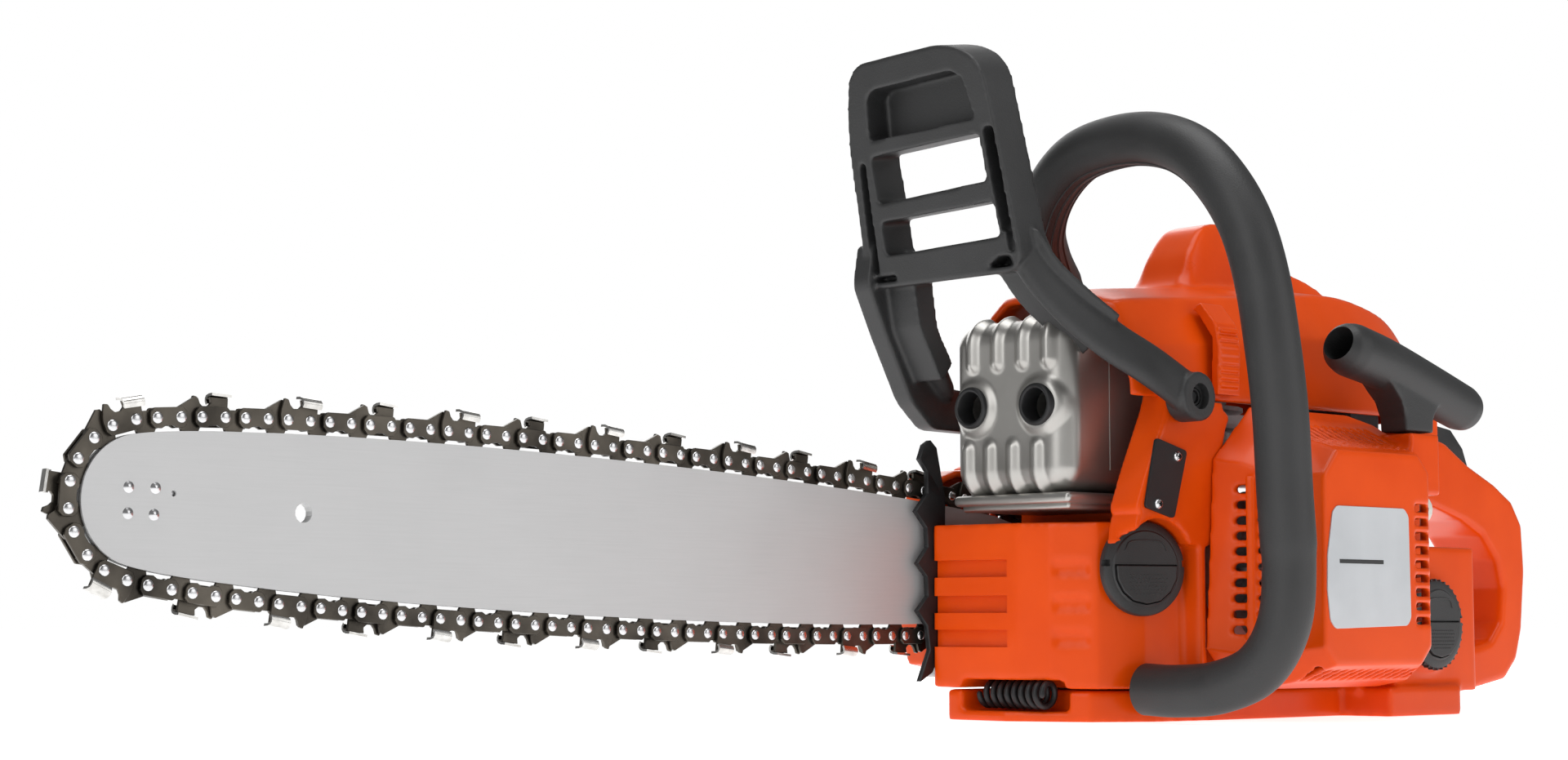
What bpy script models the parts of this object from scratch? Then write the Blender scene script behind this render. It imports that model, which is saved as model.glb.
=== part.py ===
"""Petrol chainsaw: engine, bar and chain, handles, covers and controls.

Every length is in millimetres; MM turns it into metres. +Z is up and z = 0 is
the ground the saw stands on. The bar points to -X, the starter side faces -Y,
and the crankshaft lies along Y. One object is made for each physical piece.
"""
import math

import bmesh
import bpy
from mathutils import Matrix, Vector

MM = 0.001

# ---- driving dimensions ------------------------------------------------------
GAP = 0.3                       # clearance between touching pieces
CRANK_X, CRANK_Z = -5.0, 59.8   # crankshaft axis
BAR_Y = 50.0                    # middle plane of the bar and chain
BAR_TILT = math.radians(2.32)   # the nose is higher than the tail
BAR_THICK = 4.0
CHAIN_LINK = 8.75               # rivet to rivet across a strap
CHAIN_DRIVE = 7.76              # rivet to rivet across a drive link
DRIVE_LINKS = 64
NOSE_S = -462.1                 # nose sprocket centre, along the bar from x = 0
NOSE_R = 26.27                  # pitch radius, ten teeth
DRIVE_R = 18.39                 # pitch radius, seven teeth
NOSE_LEAVE, DRIVE_LEAVE = math.radians(13.3), math.radians(17.6)
BELLY_NOSE, BELLY_DRIVE = 49.6, 68.9   # how far each end holds its direction
RAIL = 4.6                      # bar edge below the rivet line
PIVOT = (-60.7, 128.0)          # hand guard pivot, x and z
STROKE, BORE = 31.0, 41.0
CASE_LEFT, CASE_RIGHT = -44.0, 42.0
DECK = 92.0                     # top of the crankcase, cylinder base
TANK_FRONT = [(-103, 42), (-98.5, 0), (-94, -14), (-84, -30), (-66, -39), (-47, -44)]
SPLIT = -6.0                    # parting plane of the crankcase halves
STARTER_FACE = -100.0
CAP_TURN = math.radians(18)     # how far the oil cap faces forward
HAND_R = 10.5                   # front handle grip radius

# ---- scene, collections, materials ------------------------------------------
for old in list(bpy.data.objects):
    bpy.data.objects.remove(old, do_unlink=True)
scene = bpy.context.scene
saw = bpy.data.collections.new('chainsaw')
tools = bpy.data.collections.new('cutters')
scene.collection.children.link(saw)
scene.collection.children.link(tools)


def material(name, colour, rough, metal=0.0):
    mat = bpy.data.materials.new(name)
    mat.use_nodes = True
    shader = mat.node_tree.nodes['Principled BSDF']
    shader.inputs['Base Color'].default_value = (*colour, 1)
    shader.inputs['Roughness'].default_value = rough
    shader.inputs['Metallic'].default_value = metal
    mat.diffuse_color = (*colour, 1)
    return mat


ORANGE = material('orange_plastic', (0.86, 0.11, 0.012), 0.3)
DARK = material('dark_plastic', (0.045, 0.045, 0.048), 0.55)
RUBBER = material('rubber', (0.02, 0.02, 0.02), 0.8)
ALLOY = material('cast_alloy', (0.55, 0.55, 0.55), 0.45, 1.0)
STEEL = material('steel', (0.6, 0.6, 0.6), 0.3, 1.0)
PRESSED = material('pressed_steel', (0.52, 0.5, 0.46), 0.4, 1.0)
BARSTEEL = material('bar_steel', (0.6, 0.6, 0.6), 0.35, 0.7)
BLACKSTEEL = material('black_steel', (0.03, 0.03, 0.03), 0.5, 0.6)
PALE = material('pale_plastic', (0.75, 0.75, 0.72), 0.5)


# ---- helpers -----------------------------------------------------------------
def link(obj, mat=None, where=None):
    (where or saw).objects.link(obj)
    if mat:
        obj.data.materials.append(mat)
    return obj


def from_bmesh(name, bm, mat=None, where=None):
    bmesh.ops.recalc_face_normals(bm, faces=bm.faces)
    mesh = bpy.data.meshes.new(name)
    bm.to_mesh(mesh)
    bm.free()
    return link(bpy.data.objects.new(name, mesh), mat, where)


def solid(curve, mat=None):
    """Turn a curve object into a closed mesh object in the same place."""
    bpy.context.view_layer.update()
    graph = bpy.context.evaluated_depsgraph_get()
    mesh = bpy.data.meshes.new_from_object(curve.evaluated_get(graph))
    name, place = curve.name, curve.matrix_world.copy()
    where = curve.users_collection[0]
    bpy.data.objects.remove(curve, do_unlink=True)
    bm = bmesh.new()
    bm.from_mesh(mesh)
    bmesh.ops.remove_doubles(bm, verts=bm.verts, dist=1e-6)
    bmesh.ops.recalc_face_normals(bm, faces=bm.faces)
    bm.to_mesh(mesh)
    bm.free()
    mesh.name = name
    obj = bpy.data.objects.new(name, mesh)
    obj.matrix_world = place
    where.objects.link(obj)
    if mat:
        mesh.materials.clear()
        mesh.materials.append(mat)
    return obj


TURN = {'XY': Matrix.Identity(4),
        'XZ': Matrix.Rotation(math.pi / 2, 4, 'X'),
        'YZ': Matrix.Rotation(math.pi / 2, 4, 'Z') @ Matrix.Rotation(math.pi / 2, 4, 'X')}
NORMAL = {'XY': (0, 0, 1), 'XZ': (0, 1, 0), 'YZ': (1, 0, 0)}


def plate(name, loops, plane, low, high, mat=None, where=None):
    """A flat outline (or outline and holes) in a plane, from low to high across it."""
    if not isinstance(loops[0][0], (tuple, list)):
        loops = [loops]
    curve = bpy.data.curves.new(name, 'CURVE')
    curve.dimensions = '2D'
    curve.fill_mode = 'BOTH'
    curve.extrude = (high - low) / 2 * MM
    for loop in loops:
        spline = curve.splines.new('POLY')
        spline.points.add(len(loop) - 1)
        for point, (a, b) in zip(spline.points, loop):
            point.co = (a * MM, b * MM, 0, 1)
        spline.use_cyclic_u = True
    obj = bpy.data.objects.new(name, curve)
    (where or saw).objects.link(obj)
    middle = Vector(NORMAL[plane]) * (low + high) / 2 * MM
    obj.matrix_world = Matrix.Translation(middle) @ TURN[plane]
    return solid(obj, mat)


def box(name, x0, x1, y0, y1, z0, z1, mat=None, bevel=0.0, where=None):
    bm = bmesh.new()
    centre = Vector((x0 + x1, y0 + y1, z0 + z1)) / 2 * MM
    size = Matrix.Diagonal(((x1 - x0) * MM, (y1 - y0) * MM, (z1 - z0) * MM, 1))
    bmesh.ops.create_cube(bm, size=1, matrix=size)
    obj = from_bmesh(name, bm, mat, where)
    obj.location = centre
    if bevel:
        mod = obj.modifiers.new('edges', 'BEVEL')
        mod.width = bevel * MM
        mod.segments = 2
    return obj


def aim(axis):
    return Vector((0, 0, 1)).rotation_difference(Vector(axis)).to_matrix().to_4x4()


def rod(name, start, end, radius, mat=None, sides=20, where=None):
    start, end = Vector(start), Vector(end)
    bm = bmesh.new()
    bmesh.ops.create_cone(bm, cap_ends=True, segments=sides, radius1=radius * MM,
                          radius2=radius * MM, depth=(end - start).length * MM)
    obj = from_bmesh(name, bm, mat, where)
    obj.matrix_world = Matrix.Translation((start + end) / 2 * MM) @ aim(end - start)
    return obj


def turned(name, profile, at, axis, mat=None, steps=28, closed=False, where=None):
    """Spin (radius, height) points about an axis; outer side runs top to bottom."""
    mesh = bpy.data.meshes.new(name)
    count = len(profile)
    edges = [(i, i + 1) for i in range(count - 1)] + ([(count - 1, 0)] if closed else [])
    mesh.from_pydata([(r * MM, 0, h * MM) for r, h in profile], edges, [])
    obj = link(bpy.data.objects.new(name, mesh), mat, where)
    mod = obj.modifiers.new('turn', 'SCREW')
    mod.steps = mod.render_steps = steps
    mod.use_merge_vertices = True
    mod.merge_threshold = 0.00002
    mod.use_smooth_shade = False
    obj.matrix_world = Matrix.Translation(Vector(at) * MM) @ aim(axis)
    return obj


def ring(name, outer, inner, low, high, at, axis, mat=None, steps=28, where=None):
    return turned(name, [(outer, high), (outer, low), (inner, low), (inner, high)],
                  at, axis, mat, steps, True, where)


def tube(name, points, radius, mat=None, resolution=2, where=None):
    """A round bar along points; straight pieces between them."""
    curve = bpy.data.curves.new(name, 'CURVE')
    curve.dimensions = '3D'
    curve.bevel_depth = radius * MM
    curve.bevel_resolution = resolution
    curve.use_fill_caps = True
    spline = curve.splines.new('POLY')
    spline.points.add(len(points) - 1)
    for point, co in zip(spline.points, points):
        point.co = (*(Vector(co) * MM), 1)
    obj = bpy.data.objects.new(name, curve)
    (where or saw).objects.link(obj)
    return solid(obj, mat)


def smooth(points, per=4):
    """Points of a smooth curve through a route's own points."""
    pts = [Vector(p) for p in points]
    pts = [2 * pts[0] - pts[1]] + pts + [2 * pts[-1] - pts[-2]]
    out = []
    for a, b, c, d in zip(pts, pts[1:], pts[2:], pts[3:]):
        for k in range(per):
            t = k / per
            out.append(((2 * b) + (c - a) * t + (2 * a - 5 * b + 4 * c - d) * t * t
                        + (3 * b - a - 3 * c + d) * t ** 3) / 2)
    return out + [pts[-2]]


def loft(name, sections, mat=None, where=None):
    """Skin between equal-length closed sections, with flat ends."""
    bm = bmesh.new()
    rows = [[bm.verts.new(Vector(p) * MM) for p in section] for section in sections]
    count = len(rows[0])
    for low, high in zip(rows, rows[1:]):
        for i in range(count):
            j = (i + 1) % count
            bm.faces.new((low[i], low[j], high[j], high[i]))
    bm.faces.new(rows[0])
    bm.faces.new(rows[-1])
    return from_bmesh(name, bm, mat, where)


def boolean(obj, other, operation):
    mod = obj.modifiers.new(operation.lower(), 'BOOLEAN')
    mod.operation = operation
    mod.object = other
    for owner in list(other.users_collection):
        owner.objects.unlink(other)
    tools.objects.link(other)
    other.hide_render = True
    other.display_type = 'WIRE'
    return obj


def cut(obj, *others):
    for other in others:
        boolean(obj, other, 'DIFFERENCE')
    return obj


def join(obj, *others):
    for other in others:
        boolean(obj, other, 'UNION')
    return obj


def joint(name, at, *objects):
    """An empty on a joint's axis that carries the pieces which move together."""
    empty = bpy.data.objects.new(name, None)
    empty.location = Vector(at) * MM
    saw.objects.link(empty)
    bpy.context.view_layer.update()
    for obj in objects:
        place = obj.matrix_world.copy()
        obj.parent = empty
        obj.matrix_parent_inverse = empty.matrix_world.inverted()
        obj.matrix_world = place
    return empty


def along(y):
    """A point on the crankshaft axis."""
    return (CRANK_X, y, CRANK_Z)


# ---- bar and chain geometry --------------------------------------------------
def bar_point(s, t):
    """Bar coordinates (along from x = 0, up from the centreline) to world x, z."""
    c, k = math.cos(BAR_TILT), math.sin(BAR_TILT)
    return (s * c + t * k, CRANK_Z - 0.2 - s * k + t * c)


def chain_loop(count=1400):
    """Rivet line: points and outward normals, from the nose tip over the top."""
    def arc(cx, radius, a0, a1, n):
        for i in range(n):
            a = a0 + (a1 - a0) * i / n
            yield (cx - radius * math.cos(a), radius * math.sin(a)), (-math.cos(a), math.sin(a))
    start = (NOSE_S - NOSE_R * math.sin(NOSE_LEAVE), NOSE_R * math.cos(NOSE_LEAVE))
    end = (CRANK_X + DRIVE_R * math.sin(DRIVE_LEAVE), DRIVE_R * math.cos(DRIVE_LEAVE))
    p1 = (start[0] + BELLY_NOSE * math.cos(NOSE_LEAVE), start[1] + BELLY_NOSE * math.sin(NOSE_LEAVE))
    p2 = (end[0] - BELLY_DRIVE * math.cos(DRIVE_LEAVE), end[1] + BELLY_DRIVE * math.sin(DRIVE_LEAVE))

    def flank(n):
        for i in range(n):
            t = i / n
            w = ((1 - t) ** 3, 3 * (1 - t) ** 2 * t, 3 * (1 - t) * t * t, t ** 3)
            d = ((1 - t) ** 2, 2 * (1 - t) * t, t * t)
            x, y = (sum(k * p[j] for k, p in zip(w, (start, p1, p2, end))) for j in (0, 1))
            dx, dy = (d[0] * (p1[j] - start[j]) + d[1] * (p2[j] - p1[j]) + d[2] * (end[j] - p2[j])
                      for j in (0, 1))
            size = math.hypot(dx, dy)
            yield (x, y), (-dy / size, dx / size)
    top = list(arc(NOSE_S, NOSE_R, 0, math.pi / 2 - NOSE_LEAVE, 90)) + list(flank(count // 2))
    top += list(arc(CRANK_X, DRIVE_R, math.pi / 2 + DRIVE_LEAVE, math.pi, 60))
    last = ((CRANK_X + DRIVE_R, 0.0), (1.0, 0.0))
    under = [((x, -y), (nx, -ny)) for (x, y), (nx, ny) in top[1:]]
    return top + [last] + under[::-1]


LOOP = chain_loop()
RUN = [0.0]
for (p, _), (q, _) in zip(LOOP, LOOP[1:] + LOOP[:1]):
    RUN.append(RUN[-1] + math.dist(p, q))
TOTAL = RUN[-1]


def on_chain(length, offset=0.0):
    """Bar coordinates at a length round the loop, offset outward."""
    length = length % TOTAL
    low, high = 0, len(LOOP)
    while high - low > 1:
        middle = (low + high) // 2
        low, high = (middle, high) if RUN[middle] <= length else (low, middle)
    (a, n), (b, m) = LOOP[low], LOOP[(low + 1) % len(LOOP)]
    k = (length - RUN[low]) / max(RUN[low + 1] - RUN[low], 1e-9)
    return tuple(a[j] + (b[j] - a[j]) * k + offset * (n[j] + (m[j] - n[j]) * k) for j in (0, 1))


def loop_at(lengths_offsets):
    return [bar_point(*on_chain(length, off)) for length, off in lengths_offsets]


PITCH = TOTAL / DRIVE_LINKS
STRAP = CHAIN_LINK / (CHAIN_LINK + CHAIN_DRIVE) * PITCH
RIVETS = [k * PITCH + side * STRAP / 2 for k in range(DRIVE_LINKS) for side in (-1, 1)]


def bends(length):
    """True where the chain rounds the nose or the drive sprocket."""
    length = length % TOTAL
    return min(length, TOTAL - length) < 70 or abs(length - TOTAL / 2) < 60


SPARSE = [length for k, length in enumerate(RIVETS) if bends(length) or k % 4 == 0]

# ---- guide bar ---------------------------------------------------------------
TAIL_S = -36.0
half_run = [2.5 * k for k in range(24)] + [66 + 27.0 * k for k in range(18)]
top_edge = [p for p in (on_chain(length, -RAIL) for length in half_run) if p[0] < TAIL_S - 4]
bar_outline = ([bar_point(*p) for p in top_edge] + [bar_point(TAIL_S, 17), bar_point(TAIL_S, -17)]
               + [bar_point(s, -t) for s, t in top_edge[:0:-1]])
bar = plate('bar', bar_outline, 'XZ', BAR_Y - BAR_THICK / 2, BAR_Y + BAR_THICK / 2, BARSTEEL)
full_run = half_run + [TOTAL - length for length in half_run[:0:-1]]
deep = [on_chain(length, -RAIL - 6.0) for length in full_run]
deep = [p for p in deep if p[0] > NOSE_S + 21]     # the nose is open for its sprocket
wide = [on_chain(length, -RAIL + 6.0) for length in full_run]
cut(bar, plate('bar_groove', [[bar_point(*p) for p in wide], [bar_point(*p) for p in deep]], 'XZ',
               BAR_Y - 0.95, BAR_Y + 0.95))
nose_x, nose_z = bar_point(NOSE_S, 0)
STUDS = [bar_point(-56, 0), bar_point(-84, 0)]
slot_low, slot_high = bar_point(-90, 0), bar_point(-50, 0)
cut(bar, box('bar_slot', slot_low[0], slot_high[0], 45, 55, STUDS[0][1] - 4.5, STUDS[0][1] + 5.6))
PEG = bar_point(-70, -15)
cut(bar, rod('peg_hole', (PEG[0], 45, PEG[1]), (PEG[0], 55, PEG[1]), 3.4, sides=14))
hole = (-400.6, 75.9)
cut(bar, rod('bar_hole', (hole[0], 45, hole[1]), (hole[0], 55, hole[1]), 3.4, sides=14))

teeth = 10
star = []
for k in range(teeth):
    for shift, radius in ((0, 15.6), (0.28, 17.1), (0.5, 17.1), (0.78, 15.6)):
        a = (k + shift) / teeth * 2 * math.pi
        star.append((nose_x + radius * math.cos(a), nose_z + radius * math.sin(a)))
nose_sprocket = plate('nose_sprocket', star, 'XZ', BAR_Y - 0.65, BAR_Y + 0.65, STEEL)

# ---- chain: drive links, and the straps and cutters of each side -------------
outer = [(length, 3.1) for length in SPARSE]
inner = []
for k in range(DRIVE_LINKS):
    mid = k * PITCH + PITCH / 2
    at_sprocket = abs(mid - TOTAL / 2) < 52
    reach = -4.2 if at_sprocket else -8.6
    inner += [(mid - 3.6, -3.4), (mid - 1.6, reach), (mid + 1.2, reach), (mid + 3.8, -3.4)]
drive_links = plate('chain_drive_links', [loop_at(outer), loop_at(inner)], 'XZ',
                    BAR_Y - 0.65, BAR_Y + 0.65, BLACKSTEEL)


def strap_ring(name, first, y0, y1, plate_y0, plate_y1):
    """One side of the chain; every fourth strap from first is a cutter."""
    rim = []
    for k in range(DRIVE_LINKS):
        mid = k * PITCH
        if k % 4 == first:     # depth gauge leads toward the nose on the top run
            rim += [(mid - 6.2, 3.3), (mid - 5.2, 7.2), (mid - 3.0, 6.4), (mid - 1.2, 3.6),
                    (mid + 0.2, 7.9), (mid + 6.6, 7.4), (mid + 6.4, 3.4)]
        elif bends(mid):
            rim += [(mid - 5.6, 3.3), (mid + 5.6, 3.3)]
    inside = [(length, -3.9) for length in SPARSE]
    side = plate(name, [loop_at(rim), loop_at(inside)], 'XZ', y0, y1, BLACKSTEEL)
    bm = bmesh.new()
    for k in range(first, DRIVE_LINKS, 4):
        a = Vector((*bar_point(*on_chain(k * PITCH + 1.0, 7.4)), 0))
        b = Vector((*bar_point(*on_chain(k * PITCH + 6.4, 6.9)), 0))
        turn = Matrix.Rotation(-math.atan2(b.y - a.y, b.x - a.x), 4, 'Y')
        place = Matrix.Translation(Vector(((a.x + b.x) / 2, (plate_y0 + plate_y1) / 2,
                                           (a.y + b.y) / 2)) * MM)
        size = Matrix.Diagonal(((b - a).length * MM, (plate_y1 - plate_y0) * MM, 0.9 * MM, 1))
        bmesh.ops.create_cube(bm, size=1, matrix=place @ turn @ size)
    return join(side, from_bmesh(name + '_top_plates', bm))


left_straps = strap_ring('chain_left_straps', 2, 47.75, 49.0, 46.2, 49.8)
right_straps = strap_ring('chain_right_straps', 0, 51.0, 52.25, 50.2, 53.8)

# ---- crankcase with the oil tank in front ------------------------------------
CASE_PLAN = TANK_FRONT + [(52, CASE_LEFT), (52, CASE_RIGHT)]


def case_half(name, low, high):
    half = plate(name, CASE_PLAN, 'XY', 13, 79, ORANGE)
    join(half, box(name + '_deck', -50, 52, low, high, 70, DECK))
    return half


case_right = case_half('crankcase_right', SPLIT + GAP / 2, CASE_RIGHT)
join(case_right, box('handle_tower', -6.5, 15.5, 37, 53.5, 82, 111.5),
     box('handle_pad', -8.5, 17.5, 37, 64, 110.4, 113.2))
cut(case_right, box('tower_clear', -30, 12, 42.3, 60, 70, 97))
cut(case_right, box('right_half_space', -130, 80, -120, SPLIT + GAP / 2, -10, 200))
case_left = case_half('crankcase_left', CASE_LEFT, SPLIT - GAP / 2)
wall = [(-88, 70), (-86, 79), (-66, 121), (-58, 127.6), (-32, 127.6), (-30, 118), (-38, 84), (-40, 70)]
join(case_left, plate('shoulder', wall, 'XZ', -53, -38))
cut(case_left, box('left_half_space', -130, 80, SPLIT - GAP / 2, 120, -10, 200))

cavity = [(-96, 36), (-92.5, 0), (-88, -12), (-79, -25), (-64, -33), (-54, -36), (-54, 36)]
cap_out = Vector((-math.sin(CAP_TURN), -math.cos(CAP_TURN), 0))
CAP_SEAT = Vector((-68.0, -38.6, 60.5))
for half in (case_left, case_right):
    cut(half, box(half.name + '_spring_roof', -110, -80, -18, 28, 8, 16.4),
        plate(half.name + '_oil_tank', cavity, 'XY', 19, 73),
        rod(half.name + '_chamber', (CRANK_X, -24, CRANK_Z), (CRANK_X, 24, CRANK_Z), 39, sides=32),
        rod(half.name + '_bores', (CRANK_X, -60, CRANK_Z), (CRANK_X, 60, CRANK_Z), 17.8, sides=24),
        rod(half.name + '_throat', (CRANK_X, 0, 60), (CRANK_X, 0, 99), 22, sides=28))
cut(case_left, rod('flywheel_well', along(-60), along(-45.4), 37, sides=32))
seat_cut = rod('cap_seat', CAP_SEAT, CAP_SEAT + cap_out * 30, 19.6, sides=32)
neck_cut = rod('cap_neck', CAP_SEAT - cap_out * 12, CAP_SEAT + cap_out * 5, 12.5, sides=24)
cut(case_left, seat_cut, neck_cut)


def filler_cap(prefix, seat, out, radius=18.8):
    """A quarter-turn cap with a plug, and the flip-up tab that turns it."""
    cap = turned(prefix, [(0, 4.4), (radius - 1.2, 4.4), (radius, 3.4), (radius, GAP),
                          (12.1, GAP), (12.1, -6), (0, -6)], seat, out, DARK, 32)
    bm = bmesh.new()
    bmesh.ops.create_cone(bm, cap_ends=True, segments=24, radius1=(radius - 5) * MM,
                          radius2=(radius - 5) * MM, depth=3.2 * MM)
    tab = from_bmesh(prefix + '_tab', bm, DARK)
    tab.matrix_world = Matrix.Translation((Vector(seat) + Vector(out) * 4.0) * MM) @ aim(out)
    x, y, z = seat
    cut(tab, box(prefix + '_half', x - 30, x + 30, y - 30, y + 30, z + 1.0, z + 60))
    pocket = turned(prefix + '_pocket', [(0, 6), (radius - 4.7, 6), (radius - 4.7, 2.1), (0, 2.1)],
                    seat, out, steps=24)
    cut(pocket, box(prefix + '_pocket_half', x - 30, x + 30, y - 30, y + 30, z + 1.4, z + 60))
    cut(cap, pocket)
    return cap, tab


oil_cap, oil_tab = filler_cap('oil_cap', CAP_SEAT, cap_out)
bumper_tips = [(-107, 112), (-109.5, 106), (-105, 101), (-105, 92), (-111.8, 84.6), (-105.5, 78),
               (-105, 70), (-111, 63.4), (-105.5, 58), (-105, 50), (-111.1, 44), (-105.5, 38),
               (-104, 28), (-109.9, 15.3), (-103, 19), (-98, 27), (-96, 44), (-95, 90), (-100, 111),
               (-103.5, 114)]
bumper = plate('bumper', bumper_tips, 'XZ', CASE_RIGHT + GAP, CASE_RIGHT + 2.9, BLACKSTEEL)
chain_catcher = box('chain_catcher', -98, -84, 42.6, 54.0, 17, 23.4, ALLOY, 1.0)
data_plate = box('data_plate', -75, -57, -54.3, -53.3, 84, 112, DARK)

# ---- crank, bearings, flywheel -----------------------------------------------
crank = rod('crankshaft', along(-91), along(81), 6.0, STEEL, 20)
join(crank, rod('journals_left', along(-36), along(-5), 7.5, sides=20),
     rod('journals_right', along(5), along(36), 7.5, sides=20),
     rod('web_left', along(-14), along(-5), 24, sides=28),
     rod('web_right', along(5), along(14), 24, sides=28),
     rod('crank_pin', (CRANK_X, -6, CRANK_Z + STROKE / 2), (CRANK_X, 6, CRANK_Z + STROKE / 2), 6.0))
cut(crank, box('web_gap', CRANK_X - 30, CRANK_X + 30, -4.8, 4.8, CRANK_Z - 30,
               CRANK_Z + STROKE / 2 - 6.2))
bearing_left = ring('bearing_left', 17.5, 7.8, -5.5, 5.5, along(-30), (0, 1, 0), STEEL)
bearing_right = ring('bearing_right', 17.5, 7.8, -5.5, 5.5, along(30), (0, 1, 0), STEEL)
vanes = []
for k in range(12):
    for shift, radius in ((-0.35, 14), (-0.08, 28.5), (0.08, 28.5), (0.35, 14)):
        a = (k + shift) / 12 * 2 * math.pi
        vanes.append((CRANK_X + radius * math.cos(a), CRANK_Z + radius * math.sin(a)))
flywheel = ring('flywheel', 33.5, 6.3, -6.5, 6.5, along(-52.5), (0, 1, 0), ALLOY, 32)
fan = plate('fan', vanes, 'XZ', -75, -58)
cut(fan, rod('fan_bore', along(-90), along(-40), 6.3, sides=20))
join(flywheel, fan)
coil = box('ignition_coil', -20, 10, -59, -46, CRANK_Z + 36.7, 112, DARK, 2.0)

# ---- cylinder, piston, plug --------------------------------------------------
CYL_TOP = 148.0
fins = [(0, CYL_TOP), (26, CYL_TOP)]
for k in range(6):
    z = CYL_TOP - 3 - k * 7.6
    fins += [(26, z), (33, z - 0.4), (33, z - 2.2), (26, z - 2.6)]
fins += [(26, DECK + GAP), (BORE / 2, DECK + GAP), (BORE / 2, 137.5), (12, 140.5), (0, 140.5)]
cylinder = turned('cylinder', fins, (CRANK_X, 0, 0), (0, 0, 1), ALLOY, 20)
stubs = box('port_stubs', -45, 42, -15, 15, 104, 128)
cut(stubs, rod('stub_bore', (CRANK_X, 0, 90), (CRANK_X, 0, 150), 23, sides=28))
join(cylinder, stubs)
cut(cylinder, rod('exhaust_port', (-60, 0, 116), (-10, 0, 116), 8, sides=16),
    rod('intake_port', (0, 0, 113), (60, 0, 113), 7, sides=16),
    rod('plug_hole', (CRANK_X, 0, 136), (CRANK_X, 0, 160), 7.2, sides=18))
piston = turned('piston', [(0, 137), (20.2, 137), (20.2, 115.4), (17.5, 115.4), (17.5, 132.5),
                           (0, 132.5)], (CRANK_X, 0, 0), (0, 0, 1), ALLOY, 28)
pin_holes = rod('wrist_pin_hole', (CRANK_X, -30, 124), (CRANK_X, 30, 124), 4.6, sides=14)
cut(piston, pin_holes)
wrist_pin = rod('wrist_pin', (CRANK_X, -19.6, 124), (CRANK_X, 19.6, 124), 4.2, STEEL, 14)
con_rod = rod('connecting_rod', (CRANK_X, -4, 124), (CRANK_X, 4, 124), 7.6, STEEL, 18)
join(con_rod, box('rod_shank', CRANK_X - 4, CRANK_X + 4, -3.5, 3.5, 112.8, 122))
cut(con_rod, rod('rod_eye', (CRANK_X, -9, 124), (CRANK_X, 9, 124), 4.6, sides=14))
spark_plug = turned('spark_plug', [(0, 172), (3, 172), (3, 166), (5, 165), (5, 158), (9.5, 158),
                                   (9.5, CYL_TOP + GAP), (6.9, CYL_TOP + GAP), (6.9, 141), (0, 141)],
                    (CRANK_X, 0, 0), (0, 0, 1), PALE, 16)

# ---- muffler -----------------------------------------------------------------
def rounded(y0, y1, z0, z1, r, x):
    """A rectangle with cut corners, at one x."""
    return [(x, y0 + r, z0), (x, y1 - r, z0), (x, y1, z0 + r), (x, y1, z1 - r),
            (x, y1 - r, z1), (x, y0 + r, z1), (x, y0, z1 - r), (x, y0, z0 + r)]


MUFFLER_FRONT, MUFFLER_SEAM, MUFFLER_BACK = -101.0, -74.0, -46.6
muffler_front = loft('muffler_front', [rounded(-21, 28.5, 95, 157, 9, MUFFLER_FRONT),
                                       rounded(-27, 33.5, 92, 160, 9, MUFFLER_FRONT + 7),
                                       rounded(-29, 33.5, 91, 161, 9, MUFFLER_SEAM - GAP)], PRESSED)
cut(muffler_front, loft('front_hollow', [rounded(-19.5, 27, 96.5, 155.5, 8, MUFFLER_FRONT + 1.5),
                                         rounded(-25.5, 32, 93.5, 158.5, 8, MUFFLER_FRONT + 8.5),
                                         rounded(-27.5, 32, 92.5, 159.5, 8, MUFFLER_SEAM + 3)]))
OUTLETS = [(19.4, 125.9), (-15.8, 125.4)]
for k, (y, z) in enumerate(OUTLETS):
    cut(muffler_front, rod('outlet_%d' % k, (-110, y, z), (-80, y, z), 6.4, sides=20))
muffler_rear = loft('muffler_rear', [rounded(-29, 33, 91, 161, 9, MUFFLER_SEAM),
                                     rounded(-29, 33, 91, 161, 9, MUFFLER_BACK - 5),
                                     rounded(-25, 28, 95, 157, 9, MUFFLER_BACK)], PRESSED)
cut(muffler_rear, loft('rear_hollow', [rounded(-27.5, 31.5, 92.5, 159.5, 8, MUFFLER_SEAM - 3),
                                       rounded(-27.5, 31.5, 92.5, 159.5, 8, MUFFLER_BACK - 6.5),
                                       rounded(-23.5, 26.5, 96.5, 155.5, 8, MUFFLER_BACK - 1.5)]),
    rod('exhaust_in', (-60, 0, 116), (-40, 0, 116), 8, sides=16))

# ---- intake side -------------------------------------------------------------
intake_boot = ring('intake_boot', 13, 7, 0, 21.4, (42.3, 0, 113), (1, 0, 0), RUBBER, 20)
carburettor = box('carburettor', 64, 90, -17, 17, 99, 129, ALLOY, 1.5)
cut(carburettor, rod('carb_bore', (60, 0, 113), (100, 0, 113), 7, sides=18),
    rod('butterfly_bore', (77, -30, 113), (77, 30, 113), 1.9, sides=12))
butterfly = rod('throttle_butterfly', (76.5, 0, 113), (77.5, 0, 113), 6.5, STEEL, 18)
join(butterfly, rod('butterfly_shaft', (77, -22, 113), (77, 22, 113), 1.5, sides=12))
air_filter = box('air_filter', 90.6, 113, -27, 27, 97, 143, RUBBER, 3.0)
cut(air_filter, rod('filter_mouth', (88, 0, 113), (104, 0, 113), 9, sides=18))

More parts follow.
